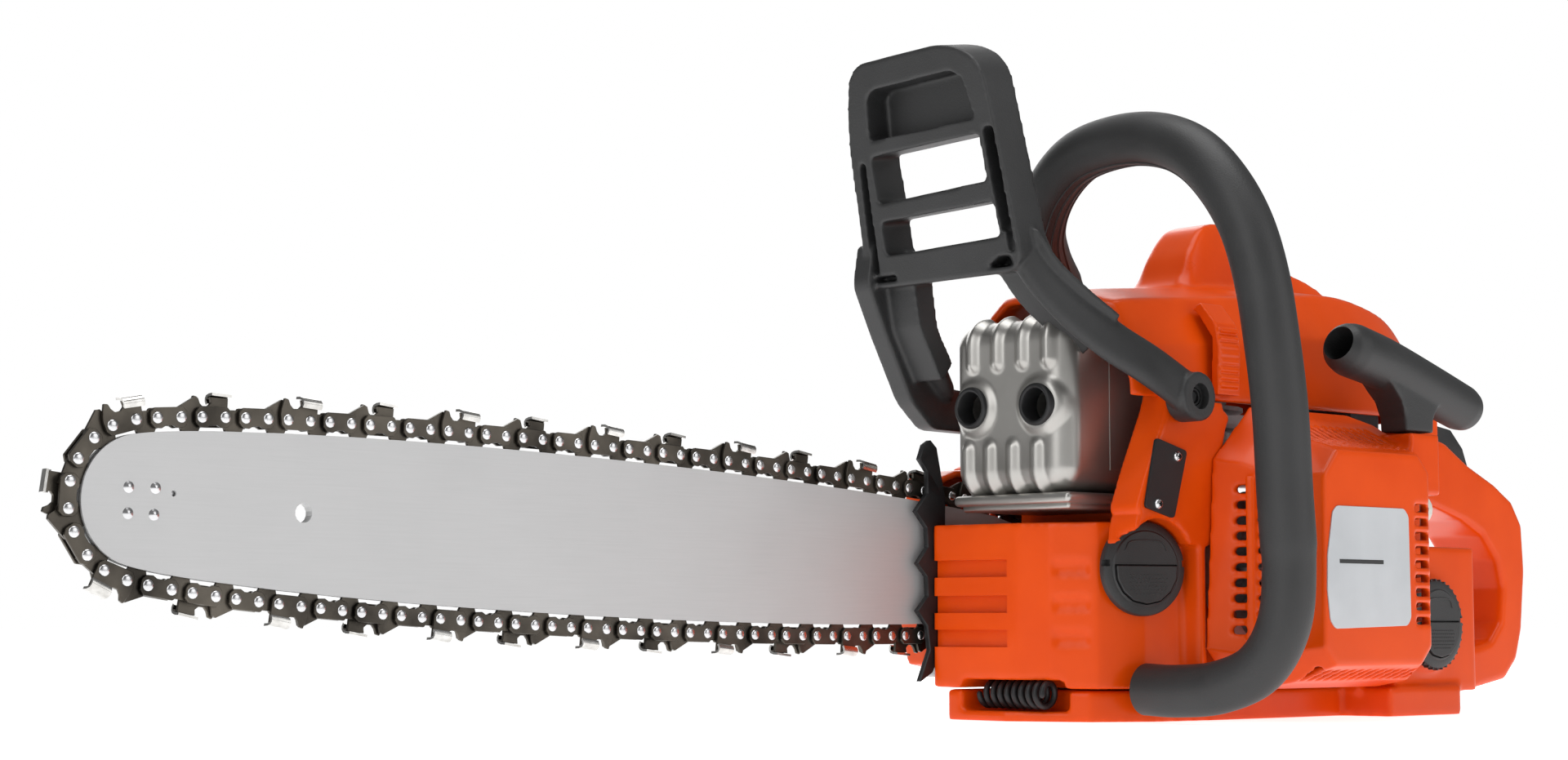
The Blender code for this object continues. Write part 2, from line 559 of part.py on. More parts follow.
# ---- fuel tank unit and lower frame ------------------------------------------
tank_unit = plate('tank_unit', [(-101, 36), (-101, 6), (-84, -26), (-60, -40), (-30, -44),
                                (56, -44), (60, -66), (112, -66), (128, -50), (128, 38)],
                  'XY', 0, 12.4, ORANGE)
join(tank_unit, plate('tank_body', [(56, 37), (56, -52.8), (66.6, -52.8), (66.6, -64), (127.7, -64),
                                    (127.7, 37)], 'XY', 10, 72),
     box('bulkhead', 117, 127.7, -40, 36, 60, 125))
TANK_SEAT = Vector((90.0, -66.4, 38.5))
tank_out = Vector((0, -1, 0))
cut(tank_unit, plate('fuel_space', [(60, 32), (60, -48), (71, -48), (71, -59), (122, -59), (122, 32)],
                     'XY', 6, 67),
    box('spring_bay', -110, -80, -18, 28, 4, 20),
    rod('fuel_neck', (90, -40, 38.5), (90, -80, 38.5), 12.5, sides=24),
    rod('choke_bore', (110, 24, 112), (140, 24, 112), 2.6, sides=12))
fuel_seat = ring('fuel_seat', 19.6, 12.5, 0, 5, (90, -61.4, 38.5), (0, -1, 0), steps=28)
join(tank_unit, fuel_seat)
fuel_cap, fuel_tab = filler_cap('fuel_cap', TANK_SEAT, tank_out)

# ---- rear handle with its controls -------------------------------------------
outer_grip = [(128.0, 126), (152, 127), (176, 122.5), (194, 113), (216, 104.5), (230, 97), (238, 86),
              (239.5, 64), (236, 36), (231, 22), (221, 13), (192, 8.5), (128, 5)]
inner_grip = [(128.0, 25), (188, 27), (209, 31), (218, 40), (220, 56), (216, 69), (205, 80),
              (188, 87), (168, 92), (128, 98)]
rear_handle = plate('rear_handle', outer_grip + inner_grip, 'XZ', -19, 13, ORANGE)
edges = rear_handle.modifiers.new('edges', 'BEVEL')
edges.width = 4 * MM
edges.segments = 2
edges.limit_method = 'ANGLE'
edges.angle_limit = math.radians(70)
TRIGGER = (139.0, 109.0)
LOCK = (164.0, 113.0)
cut(rear_handle, box('trigger_slot', 131, 170, -8.5, 2.5, 80, 117),
    box('lock_slot', 155, 214, -9.5, 3.5, 96, 140))
trigger = plate('throttle_trigger', [(134, 113), (143, 113), (146, 104), (150, 90), (154, 80),
                                     (150, 77), (144, 84), (137, 98)], 'XZ', -7.5, 1.5, DARK)
lock_shape = [(158.5, 114), (162, 122), (170, 129), (184, 131.5), (196, 130), (205, 122), (210, 111.5),
              (207, 109.5), (186, 116), (170, 108), (161, 107.5)]
lockout = plate('throttle_lockout', lock_shape, 'XZ', -8.5, 2.5, DARK)
stop_switch = plate('stop_switch', [(129.7, 110), (134.5, 107), (136.5, 114), (134.5, 121), (129.7, 118)],
                    'XZ', -33, -25, DARK)
choke_knob = rod('choke_knob', (134, 24, 112), (143, 24, 112), 6.5, DARK, 20)
join(choke_knob, rod('choke_rod', (113.4, 24, 112), (135, 24, 112), 2.2, sides=12))
purge_bulb = turned('purge_bulb', [(0, 8), (4, 7.2), (7, 4.5), (8, 0.0), (0, 0.0)],
                    (132.3, -30, 90), (1, 0, 0), PALE, 20)

# ---- front handle and its springs --------------------------------------------
handle_route = [(-69, -42, 13.0), (-69, -58, 12.6), (-68, -78, 14.5), (-65.5, -95, 22),
                (-63.5, -105, 38), (-63.5, -108, 60), (-65.5, -108, 90), (-67.5, -108, 120),
                (-70.5, -107, 146), (-71.5, -103.5, 170), (-72, -97, 191), (-72, -86, 209),
                (-71, -71, 223), (-70, -52, 231), (-69, -30, 233), (-67.5, -8, 229.5),
                (-63.5, 10, 219), (-56, 23.5, 205), (-41, 34, 194), (-22, 43, 183),
                (-6, 49.5, 168), (2.5, 53, 150), (4.5, 54, 132), (4.5, 54, 114.4)]
front_handle = tube('front_handle', smooth(handle_route, 2), HAND_R, DARK, 3)


def spring(name, start, end, radius, wire, turns):
    start, end = Vector(start), Vector(end)
    axis = (end - start).normalized()
    side = axis.orthogonal().normalized()
    other = axis.cross(side)
    steps = turns * 8
    points = [start.lerp(end, k / steps) + radius * (side * math.cos(k * math.pi / 4)
                                                     + other * math.sin(k * math.pi / 4))
              for k in range(steps + 1)]
    return tube(name, points, wire, BLACKSTEEL, 1)


spring_front = spring('spring_front', (-90, -12, 10.1), (-90, 22, 10.1), 4.2, 1.1, 6)

# ---- starter -----------------------------------------------------------------
def starter_section(y, left, right, low, high, corner, lean):
    """Rounded box section of the starter cover at one y."""
    return [(left + corner, y, low), (right - corner, y, low), (right, y, low + corner),
            (right, y, high - corner), (right - corner, y, high), (left + corner + lean, y, high),
            (left + lean * 0.4, y, high - corner * 1.4), (left, y, low + corner)]


starter_cover = loft('starter_cover', [starter_section(-53.4, -46, 66, 12.8, 127, 16, 14),
                                       starter_section(-66, -42, 66, 12.8, 122, 14, 12),
                                       starter_section(-80, -37.5, 64, 15.5, 113.5, 12, 9),
                                       starter_section(STARTER_FACE, -30.5, 41, 22.5, 107, 7, 3)],
                     ORANGE)
cut(starter_cover, loft('starter_hollow', [starter_section(-40, -43.2, 63.2, 15.6, 124.2, 15, 14),
                                           starter_section(-53, -43.2, 63.2, 15.6, 124.2, 15, 14),
                                           starter_section(-65, -39.4, 63.2, 15.6, 119.4, 13, 12),
                                           starter_section(-79, -34.9, 61.2, 18.1, 110.9, 11, 9),
                                           starter_section(STARTER_FACE + 2.6, -28.4, 39, 25,
                                                           104.6, 6, 3)]))
join(starter_cover, box('rope_boss', 46, 66, -89, -70, 92, 117.4))
ROPE = (56.0, -80.0)
cut(starter_cover, rod('rope_guide', (*ROPE, 86), (*ROPE, 120), 2.6, sides=12))
slots = bmesh.new()              # cooling slots on the forward slope
for row in range(10):
    size = Matrix.Diagonal((36 * MM, 16.4 * MM, 3.2 * MM, 1))
    place = Matrix.Translation(Vector((-46, -71.3, 36.3 + row * 6.2)) * MM)
    bmesh.ops.create_cube(slots, size=1, matrix=place @ size)
cut(starter_cover, from_bmesh('vents', slots))
pulley = ring('starter_pulley', 26, 6.6, -3.6, 3.6, along(ROPE[1]), (0, -1, 0), PALE, 32)
recoil = ring('recoil_spring', 23, 6.6, -2.2, 2.2, along(-87.6), (0, -1, 0), STEEL, 28)
starter_rope = rod('starter_rope', (*ROPE, 36), (*ROPE, 117.8), 1.7, PALE, 10)
grip_front, grip_rear = (17, -80, 150.5), (95, -80, 131)
starter_handle = tube('starter_handle', smooth([grip_front, (40, -80, 146), (70, -80, 138),
                                                grip_rear], 1), 9.8, DARK, 2)
join(starter_handle, loft('handle_neck', [[(ROPE[0] + x, ROPE[1] + y, z) for x, y in
                                           ((-k, -7), (k, -7), (k, 7), (-k, 7))]
                                          for k, z in ((8, 118.2), (9.5, 125), (20, 138))]))
cut(starter_handle, rod('hollow_end', (8, -80, 153), (30, -80, 147.3), 7.4, sides=16))

# ---- top cover and its latches -----------------------------------------------
def cover_section(x, left, right, high, crown, low=128.6):
    """Cross-section of the top cover at one x: chamfered shoulders and a crown."""
    return [(x, left, low), (x, left + 1, high - 26), (x, left + 12, high - 6),
            (x, crown[0], high), (x, crown[0] + 6, crown[2]), (x, crown[1] - 6, crown[2]),
            (x, crown[1], high), (x, right - 10, high - 6), (x, right - 1, high - 26),
            (x, right, low)]


OUTER = [(-80, -42, 41.5, 170, (-12, 24, 170.5)), (-72, -47, 41.5, 174, (-14, 24, 174.5)),
         (-20, -49, 41.5, 179, (-14, 26, 179.5)), (2, -49, 41.5, 181, (-8, 32, 184)),
         (22, -49, 41.5, 184, (-6, 34, 207)), (38, -49, 41.5, 185, (-4, 34, 213)),
         (68, -49, 41.5, 186, (-2, 32, 208)), (104, -48, 39, 179, (-6, 28, 190)),
         (126, -44, 35, 166, (-10, 24, 173))]
top_cover = loft('top_cover', [cover_section(*row) for row in OUTER], ORANGE)
INNER = []
for x, left, right, high, (c0, c1, c2) in OUTER:
    INNER.append([x, left + 2.6, right - 2.6, high - 2.8, (c0 + 1, c1 - 1, c2 - 3)])
INNER[0][0] -= 10         # open at the front, round the muffler
INNER[-1][0] -= 2.6
cut(top_cover, loft('cover_hollow', [cover_section(*row, low=120) for row in INNER]))


def latch(name, x0, x1, y, side, low, high):
    """A snap latch that lies on a shoulder of the cover and hinges at its foot."""
    shape = [(y, low), (y + side * 1.0, high - 10), (y - side * 6, high),
             (y - side * 9, high + 2.4), (y - side * 5, high + 5), (y + side * 2.5, high - 4),
             (y + side * 4.4, high - 14), (y + side * 3.6, low)]
    return plate(name, shape, 'YZ', x0, x1, ORANGE)


latch_left = latch('latch_left', -36, -22, -49.9, -1, 131, 164)
latch_right = latch('latch_right', 24, 38, 45.1, 1, 131, 167)
latch_rear = plate('latch_rear', [(-49.6, 129), (-48.7, 141), (-50.5, 143), (-53.4, 130), (-53.4, 102),
                                  (-49.6, 102)], 'YZ', 104, 118, ORANGE)

# ---- clutch, brake, oil pump and clutch cover --------------------------------
sprocket = []
for k in range(7):
    for shift, radius in ((0, 11.6), (0.25, 13.3), (0.5, 13.3), (0.75, 11.6)):
        a = (k + shift) / 7 * 2 * math.pi
        sprocket.append((CRANK_X + radius * math.cos(a), CRANK_Z + radius * math.sin(a)))
drum = turned('clutch_drum', [(34, 74), (34, 55.6), (9.5, 55.6), (9.5, 46.8), (7.6, 46.8),
                              (7.6, 57.2), (32.4, 57.2), (32.4, 74)],
              (CRANK_X, 0, CRANK_Z), (0, 1, 0), STEEL, 32, True)
spur = plate('spur', sprocket, 'XZ', 47, 53)
cut(spur, rod('spur_bore', along(40), along(60), 8.5, sides=20))
join(drum, spur)
hub_shape = []
for k in range(3):
    for shift, radius in ((0.02, 31.6), (0.1, 31.6), (0.2, 31.6), (0.29, 31.6), (0.3, 13), (0.333, 13)):
        a = k / 3 * 2 * math.pi + shift * 2 * math.pi
        hub_shape.append((CRANK_X + radius * math.cos(a), CRANK_Z + radius * math.sin(a)))
clutch = plate('clutch_shoes', hub_shape, 'XZ', 59, 71, ALLOY)
cut(clutch, rod('hub_bore', along(50), along(80), 6.3, sides=20))
brake_band = ring('brake_band', 36.2, 35.0, 59, 72, (CRANK_X, 0, CRANK_Z), (0, 1, 0), BLACKSTEEL, 36)
cut(brake_band, box('band_gap', CRANK_X + 20, CRANK_X + 50, 50, 80, CRANK_Z + 12, CRANK_Z + 22))
oil_pump = box('oil_pump', 24, 44, 42.4, 50, 22, 36, ALLOY, 1.0)

COVER_OUT = 86.0
deep_part = [(-46, 20), (-46, 106), (-36, 110), (16, 110), (40, 100), (52, 80), (56, 58), (50, 34),
             (40, 18)]
flat_part = [(-92, 22), (-97, 40), (-97, 84), (-90, 98), (-76, 103), (-44, 106), (-44, 18), (-60, 16)]
clutch_cover = plate('clutch_cover', deep_part, 'XZ', 54.6, COVER_OUT, ORANGE)
join(clutch_cover, plate('cover_front', flat_part, 'XZ', 54.6, 68))
inset_deep = [(-43, 23), (-43, 103), (-35, 107), (15, 107), (38, 98), (49, 79), (53, 58), (47, 35),
              (38, 21)]
inset_flat = [(-90, 25), (-94, 41), (-94, 83), (-88, 95.5), (-75, 100), (-40, 103), (-40, 21), (-60, 19)]
cut(clutch_cover, plate('cover_deep_hollow', inset_deep, 'XZ', 50, COVER_OUT - 2.8),
    plate('cover_flat_hollow', inset_flat, 'XZ', 50, 65.2))
for k, (x, z) in enumerate(STUDS):
    join(clutch_cover, rod('nut_boss_%d' % k, (x, 52.4, z), (x, 67, z), 8.5, sides=20))
for k, (x, z) in enumerate(STUDS):
    cut(clutch_cover, rod('stud_hole_%d' % k, (x, 45, z), (x, 75, z), 4.4, sides=16))
studs, nuts = [], []
for word, (x, z) in zip(('rear', 'front'), STUDS):
    studs.append(rod('bar_stud_' + word, (x, CASE_RIGHT + GAP, z), (x, 80, z), 3.9, STEEL, 14))
    nut = rod('bar_nut_' + word, (x, 68.3, z), (x, 77, z), 8.6, STEEL, 6)
    cut(nut, rod('nut_bore_' + word, (x, 60, z), (x, 90, z), 4.3, sides=14))
    nuts.append(nut)
tensioner = rod('chain_tensioner', (-92, 58, PEG[1]), (PEG[0] + 4, 58, PEG[1]), 3.2, STEEL, 12)
join(tensioner, rod('tension_peg', (PEG[0], 46.5, PEG[1]), (PEG[0], 58, PEG[1]), 2.9, sides=12))

# ---- hand guard --------------------------------------------------------------
LEAN = math.radians(9.5)
panel_shape = [(-27, -5), (60, -5), (61, 58), (57, 78), (50, 85), (0, 87), (-15, 79), (-24, 58)]
windows = [[(-14, 30), (47, 28), (49, 47), (-13, 49)], [(-17, 9), (46, 8), (47, 21), (-16, 23)]]
guard = plate('hand_guard', [panel_shape] + windows, 'YZ', 0, 18, DARK)
pocket = plate('guard_pocket', [(-10, 55), (48, 54), (47, 72), (-6, 74)], 'YZ', -5, 12)
lean = Matrix.Translation(Vector((-123, 0, 182)) * MM) @ Matrix.Rotation(-LEAN, 4, 'Y')
for piece in (guard, pocket):
    piece.matrix_world = lean @ piece.matrix_world
cut(guard, pocket)
arm_left = tube('arm_left', smooth([(-113, -20, 186), (-110, -30, 168), (-99, -43, 150),
                                    (-82, -54.5, 137), (PIVOT[0] - 2, -59.5, PIVOT[1])], 2), 6.4,
                resolution=2)
arm_right = plate('arm_right', [(-122, 190), (-106, 192), (-98, 156), (-84, 137), (-61, 136.5),
                                (-53, 128), (-60, 120.5), (-86, 121), (-98, 131), (-114, 160)],
                  'XZ', 56.5, 65.5)
join(guard, arm_left, rod('boss_left', (PIVOT[0], -64.5, PIVOT[1]), (PIVOT[0], -53.6, PIVOT[1]), 7.6,
                          sides=24), arm_right)
cut(guard, rod('pivot_left', (PIVOT[0], -70, PIVOT[1]), (PIVOT[0], -50, PIVOT[1]), 3.6, sides=16),
    rod('pivot_right', (PIVOT[0], 50, PIVOT[1]), (PIVOT[0], 70, PIVOT[1]), 3.6, sides=16))
screw_left = rod('guard_screw_left', (PIVOT[0], -62.5, PIVOT[1]), (PIVOT[0], -53.3, PIVOT[1]), 3.3,
                 STEEL, 16)

# ---- joints ------------------------------------------------------------------
joint('crank_axis', along(0), crank, flywheel, clutch)
joint('drum_axis', along(50), drum)
joint('nose_axis', (nose_x, BAR_Y, nose_z), nose_sprocket)
joint('piston_slide', (CRANK_X, 0, 124), piston, wrist_pin, con_rod)
joint('pulley_axis', along(ROPE[1]), pulley)
joint('rope_slide', (*ROPE, 115), starter_handle, starter_rope)
joint('guard_pivot', (PIVOT[0], 0, PIVOT[1]), guard)
joint('trigger_pivot', (TRIGGER[0], -3, TRIGGER[1]), trigger)
joint('lockout_pivot', (LOCK[0], -3, LOCK[1]), lockout)
joint('butterfly_axis', (77, 0, 113), butterfly)
joint('switch_pivot', (131.5, -29, 114), stop_switch)
joint('choke_slide', (134, 24, 112), choke_knob)
joint('purge_slide', (132.3, -30, 90), purge_bulb)
joint('oil_cap_axis', CAP_SEAT, oil_cap, oil_tab)
joint('fuel_cap_axis', TANK_SEAT, fuel_cap, fuel_tab)
joint('latch_left_pivot', (-29, -51, 131), latch_left)
joint('latch_right_pivot', (31, 45.4, 131), latch_right)
joint('latch_rear_pivot', (111, -51, 102), latch_rear)

for obj in saw.objects:
    if obj.type == 'MESH':
        obj.data.shade_smooth()
        obj.data.set_sharp_from_angle(angle=math.radians(35))
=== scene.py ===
# %% [markdown]
# # A petrol chainsaw
# A chainsaw is a small engine in moulded plastic covers. A flat steel bar sticks out of one side,
# with a chain round its rim. A sloping guard and a round-bar handle stand in front, and a loop
# handle with the throttle is at the back. The working model gives every part its place. Here the
# parts that show get their real surfaces, one family at a time.

# %% Load the working model
import math

import bmesh
import bpy
from mathutils import Matrix, Vector


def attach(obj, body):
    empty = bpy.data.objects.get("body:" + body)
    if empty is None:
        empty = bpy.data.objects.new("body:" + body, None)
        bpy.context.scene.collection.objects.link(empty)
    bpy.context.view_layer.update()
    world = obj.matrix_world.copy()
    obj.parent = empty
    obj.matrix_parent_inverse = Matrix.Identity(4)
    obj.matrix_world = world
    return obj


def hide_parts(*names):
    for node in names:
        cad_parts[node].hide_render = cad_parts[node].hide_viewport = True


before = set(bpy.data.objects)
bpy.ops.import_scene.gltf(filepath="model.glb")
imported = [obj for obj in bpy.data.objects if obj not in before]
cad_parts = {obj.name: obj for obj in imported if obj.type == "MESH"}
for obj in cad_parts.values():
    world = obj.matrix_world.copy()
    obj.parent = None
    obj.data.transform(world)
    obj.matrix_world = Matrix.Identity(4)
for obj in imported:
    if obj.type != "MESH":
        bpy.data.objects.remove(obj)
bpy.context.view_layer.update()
MM = 0.001

# %% [markdown]
# ## Camera, light and floor
# The saw is seen from low down, in front of its starter side, with a long lens. A white studio
# has large soft lamps: one overhead, one on each side, and a pale floor that fades into the walls.

# %% Camera
camera = bpy.data.objects.new("camera", bpy.data.cameras.new("camera"))
bpy.context.scene.collection.objects.link(camera)
camera.location = (-0.9046, -0.7414, 0.0378)
camera.rotation_euler = (math.radians(95.162), 0, math.radians(-42.544))
camera.data.lens = 62.59
camera.data.sensor_width = 36
camera.data.clip_start = 0.01
bpy.context.scene.camera = camera


# %% Lamps and floor
def soft_lamp(name, place, target, size, power):
    """A square area lamp that faces a target."""
    data = bpy.data.lights.new(name, "AREA")
    data.shape, data.size, data.size_y = "RECTANGLE", size[0], size[1]
    data.energy = power
    lamp = bpy.data.objects.new(name, data)
    lamp.location = place
    lamp.rotation_euler = (Vector(target) - Vector(place)).to_track_quat("-Z", "Y").to_euler()
    bpy.context.scene.collection.objects.link(lamp)


MIDDLE = (-0.05, 0, 0.1)
soft_lamp("overhead", (-0.15, -0.1, 1.5), MIDDLE, (1.1, 1.1), 14)
soft_lamp("front_left", (-1.5, -0.3, 0.9), MIDDLE, (0.7, 1.4), 8)
soft_lamp("starter_side", (0.5, -1.6, 0.8), MIDDLE, (1.1, 1.2), 7)
soft_lamp("behind", (0.7, 1.3, 0.9), MIDDLE, (1.2, 1.0), 9)
world = bpy.data.worlds.new("studio")
world.use_nodes = True
walls = world.node_tree.nodes["Background"]
walls.inputs["Color"].default_value = (1, 1, 1, 1)
seen = world.node_tree.nodes.new("ShaderNodeLightPath").outputs["Is Camera Ray"]
strength = world.node_tree.nodes.new("ShaderNodeMapRange")
strength.inputs["To Min"].default_value = 0.22   # what lights the saw
strength.inputs["To Max"].default_value = 1.0    # what the camera sees
world.node_tree.links.new(seen, strength.inputs["Value"])
world.node_tree.links.new(strength.outputs["Result"], walls.inputs["Strength"])
bpy.context.scene.world = world
bpy.context.scene.view_settings.view_transform = "Standard"


# %% [markdown]
# ## Finishes
# Most of the saw is one of a few finishes: glossy orange plastic, dark plastic with a fine grain,
# pressed steel, ground bar steel, oiled chain steel, and bright plated parts. Each is a Principled
# shader with its detail from noise in Object coordinates. The fine grain and the streaks are used
# by several of them, so each of those is a node group that is built once.

# %% Node groups for grain and streaks
def node_group(name, inputs, outputs):
    """An empty shader node group with named sockets, and its two end nodes."""
    group = bpy.data.node_groups.new(name, "ShaderNodeTree")
    for title, kind, value in inputs:
        socket = group.interface.new_socket(title, in_out="INPUT", socket_type=kind)
        if value is not None:
            socket.default_value = value
    for title, kind in outputs:
        group.interface.new_socket(title, in_out="OUTPUT", socket_type=kind)
    return group, group.nodes.new("NodeGroupInput"), group.nodes.new("NodeGroupOutput")


def wire(tree, start, end):
    tree.links.new(start, end)


def maths(tree, operation, a, b):
    """A Math node whose inputs are sockets or numbers."""
    node = tree.nodes.new("ShaderNodeMath")
    node.operation = operation
    for socket, value in zip(node.inputs, (a, b)):
        if isinstance(value, (int, float)):
            socket.default_value = value
        else:
            wire(tree, value, socket)
    return node.outputs[0]


grain, into, out = node_group(
    "moulded_grain",
    [("Vector", "NodeSocketVector", None), ("Size", "NodeSocketFloat", 900.0),
     ("Unevenness", "NodeSocketFloat", 0.5)],
    [("Height", "NodeSocketFloat"), ("Patches", "NodeSocketFloat")])
fine = grain.nodes.new("ShaderNodeTexNoise")
fine.inputs["Detail"].default_value = 3
wire(grain, into.outputs["Vector"], fine.inputs["Vector"])
wire(grain, into.outputs["Size"], fine.inputs["Scale"])
broad = grain.nodes.new("ShaderNodeTexNoise")
broad.inputs["Scale"].default_value = 38
broad.inputs["Detail"].default_value = 4
wire(grain, into.outputs["Vector"], broad.inputs["Vector"])
wire(grain, fine.outputs[0], out.inputs["Height"])
swing = maths(grain, "SUBTRACT", broad.outputs[0], 0.5)
wire(grain, maths(grain, "MULTIPLY", swing, into.outputs["Unevenness"]), out.inputs["Patches"])

streaks, into, out = node_group(
    "drawn_streaks",
    [("Vector", "NodeSocketVector", None), ("Along", "NodeSocketFloat", 12.0),
     ("Across", "NodeSocketFloat", 900.0)],
    [("Streak", "NodeSocketFloat"), ("Cloud", "NodeSocketFloat")])
stretch = streaks.nodes.new("ShaderNodeCombineXYZ")
wire(streaks, into.outputs["Along"], stretch.inputs[0])
wire(streaks, into.outputs["Across"], stretch.inputs[1])
wire(streaks, into.outputs["Across"], stretch.inputs[2])
product = streaks.nodes.new("ShaderNodeVectorMath")
product.operation = "MULTIPLY"
wire(streaks, into.outputs["Vector"], product.inputs[0])
wire(streaks, stretch.outputs[0], product.inputs[1])
line = streaks.nodes.new("ShaderNodeTexNoise")
line.inputs["Scale"].default_value = 1
line.inputs["Detail"].default_value = 2
wire(streaks, product.outputs[0], line.inputs["Vector"])
cloud = streaks.nodes.new("ShaderNodeTexNoise")
cloud.inputs["Scale"].default_value = 30
cloud.inputs["Detail"].default_value = 5
wire(streaks, into.outputs["Vector"], cloud.inputs["Vector"])
wire(streaks, line.outputs[0], out.inputs["Streak"])
wire(streaks, cloud.outputs[0], out.inputs["Cloud"])


# %% Build one finish
def finish_of(name, slot, dark, light, rough, spread=0.08, metal=0.0, coat=0.0, size=900.0,
              bump=0.05, drawn=None, contrast=1.0):
    """A Principled finish: two colours mixed by noise, uneven gloss and a fine bump.

    drawn gives (along, across) scales for streaks instead of the moulded grain."""
    material = bpy.data.materials.new(name)
    material.use_nodes = True
    tree = material.node_tree
    shader = tree.nodes["Principled BSDF"]
    shader.inputs["Metallic"].default_value = metal
    shader.inputs["Coat Weight"].default_value = coat
    shader.inputs["Coat Roughness"].default_value = 0.12
    place = tree.nodes.new("ShaderNodeTexCoord").outputs["Object"]
    pattern = tree.nodes.new("ShaderNodeGroup")
    if drawn:
        pattern.node_tree = streaks
        pattern.inputs["Along"].default_value, pattern.inputs["Across"].default_value = drawn
        height, patch = pattern.outputs["Streak"], pattern.outputs["Cloud"]
        patch = maths(tree, "SUBTRACT", patch, 0.5)
        mixed = maths(tree, "ADD", patch, maths(tree, "SUBTRACT", height, 0.5))
    else:
        pattern.node_tree = grain
        pattern.inputs["Size"].default_value = size
        pattern.inputs["Unevenness"].default_value = 1.0
        height, patch = pattern.outputs["Height"], pattern.outputs["Patches"]
        mixed = patch
    wire(tree, place, pattern.inputs["Vector"])
    blend = tree.nodes.new("ShaderNodeMix")
    blend.data_type = "RGBA"
    blend.inputs["A"].default_value = (*dark, 1)
    blend.inputs["B"].default_value = (*light, 1)
    share = maths(tree, "ADD", maths(tree, "MULTIPLY", mixed, 2.0 * contrast), 0.5)
    tree.nodes[-1].use_clamp = True
    wire(tree, share, blend.inputs["Factor"])
    wire(tree, blend.outputs["Result"], shader.inputs["Base Color"])
    wire(tree, maths(tree, "ADD", maths(tree, "MULTIPLY", patch, spread), rough),
         shader.inputs["Roughness"])
    relief = tree.nodes.new("ShaderNodeBump")
    relief.inputs["Strength"].default_value = bump
    relief.inputs["Distance"].default_value = 0.0004
    wire(tree, height, relief.inputs["Height"])
    wire(tree, relief.outputs["Normal"], shader.inputs["Normal"])
    material["slot"] = slot
    return material


ORANGE = finish_of("glossy_orange", "orange_plastic", (0.64, 0.056, 0.0008), (0.72, 0.070, 0.0012),
                   0.30, 0.12, coat=0.03, size=1400, bump=0.04)
ORANGE.node_tree.nodes["Principled BSDF"].inputs["Specular IOR Level"].default_value = 0.2
DARK = finish_of("grained_dark", "dark_plastic", (0.014, 0.0142, 0.0146), (0.023, 0.0232, 0.0238),
                 0.52, 0.15, size=1500, bump=0.22)
PRESSED = finish_of("pressed_sheet", "pressed_steel", (0.36, 0.35, 0.33), (0.46, 0.45, 0.43),
                    0.36, 0.12, metal=0.9, size=260, bump=0.03, contrast=0.7)
BARSTEEL = finish_of("ground_bar", "bar_steel", (0.44, 0.44, 0.442), (0.48, 0.48, 0.482),
                     0.5, 0.06, metal=0.25, drawn=(40, 1500), bump=0.02, contrast=0.5)
OILED = finish_of("oiled_links", "chain_steel", (0.035, 0.031, 0.026), (0.13, 0.115, 0.095),
                  0.34, 0.3, metal=0.9, size=500, bump=0.15, contrast=1.4)
CHROMED = finish_of("chromed_cutters", "chain_steel", (0.42, 0.41, 0.39), (0.66, 0.65, 0.63),
                    0.22, 0.15, metal=1.0, drawn=(300, 300), bump=0.05)
BLACK = finish_of("black_oxide", "dark_steel", (0.012, 0.012, 0.013), (0.022, 0.022, 0.023),
                  0.45, 0.2, metal=0.4, size=700, bump=0.15)
ALLOY = finish_of("cast_alloy", "cast_alloy", (0.36, 0.36, 0.365), (0.50, 0.50, 0.51),
                  0.5, 0.2, metal=0.9, size=420, bump=0.35)
PLATED = finish_of("zinc_plated", "bright_steel", (0.52, 0.52, 0.53), (0.66, 0.66, 0.67),
                   0.25, 0.15, metal=1.0, size=600, bump=0.06)
NYLON = finish_of("natural_nylon", "pale_plastic", (0.55, 0.55, 0.50), (0.66, 0.66, 0.61),
                  0.5, 0.1, size=700, bump=0.1)
RUBBER = finish_of("black_rubber", "rubber_black", (0.02, 0.02, 0.02), (0.032, 0.032, 0.033),
                   0.7, 0.15, size=800, bump=0.3)
BADGE = finish_of("silver_label", "bright_steel", (0.50, 0.52, 0.54), (0.58, 0.60, 0.62),
                  0.4, 0.08, metal=0.3, size=1500, bump=0.05)
PAPER = finish_of("pale_floor", "floor", (0.86, 0.86, 0.86), (0.9, 0.9, 0.9), 0.6, 0.1, bump=0.0)
glow = PAPER.node_tree.nodes["Principled BSDF"]
glow.inputs["Emission Color"].default_value = (1, 1, 1, 1)
glow.inputs["Emission Strength"].default_value = 0.83
print(len(bpy.data.materials), "finishes")

# %% Floor
floor_mesh = bmesh.new()
bmesh.ops.create_grid(floor_mesh, x_segments=4, y_segments=4, size=30)
floor_data = bpy.data.meshes.new("floor")
floor_mesh.to_mesh(floor_data)
floor_mesh.free()
floor = bpy.data.objects.new("floor", floor_data)
floor.data.materials.append(PAPER)
floor.location.z = -0.0003
bpy.context.scene.collection.objects.link(floor)

# %% [markdown]
# ## Tools for the shapes
# Three kinds of part turn up again and again. Flat parts are an outline, pushed through to its
# thickness. Round bars and wires are a ring of edges, carried along a route. Moulded covers are
# simple blocks that are joined and cut, remeshed to an even net and smoothed, so that inside and
# outside corners all get the soft radius of an injection mould.


# %% Finish a bmesh as a piece
def as_object(name, bm):
    """Turn a bmesh into an object at the origin."""
    mesh = bpy.data.meshes.new(name)
    bm.to_mesh(mesh)
    bm.free()
    obj = bpy.data.objects.new(name, mesh)
    bpy.context.scene.collection.objects.link(obj)
    return obj


def applied(obj):
    """Replace an object's mesh by its result with all its modifiers."""
    graph = bpy.context.evaluated_depsgraph_get()
    baked = bpy.data.meshes.new_from_object(obj.evaluated_get(graph))
    obj.modifiers.clear()
    obj.data = baked
    return obj


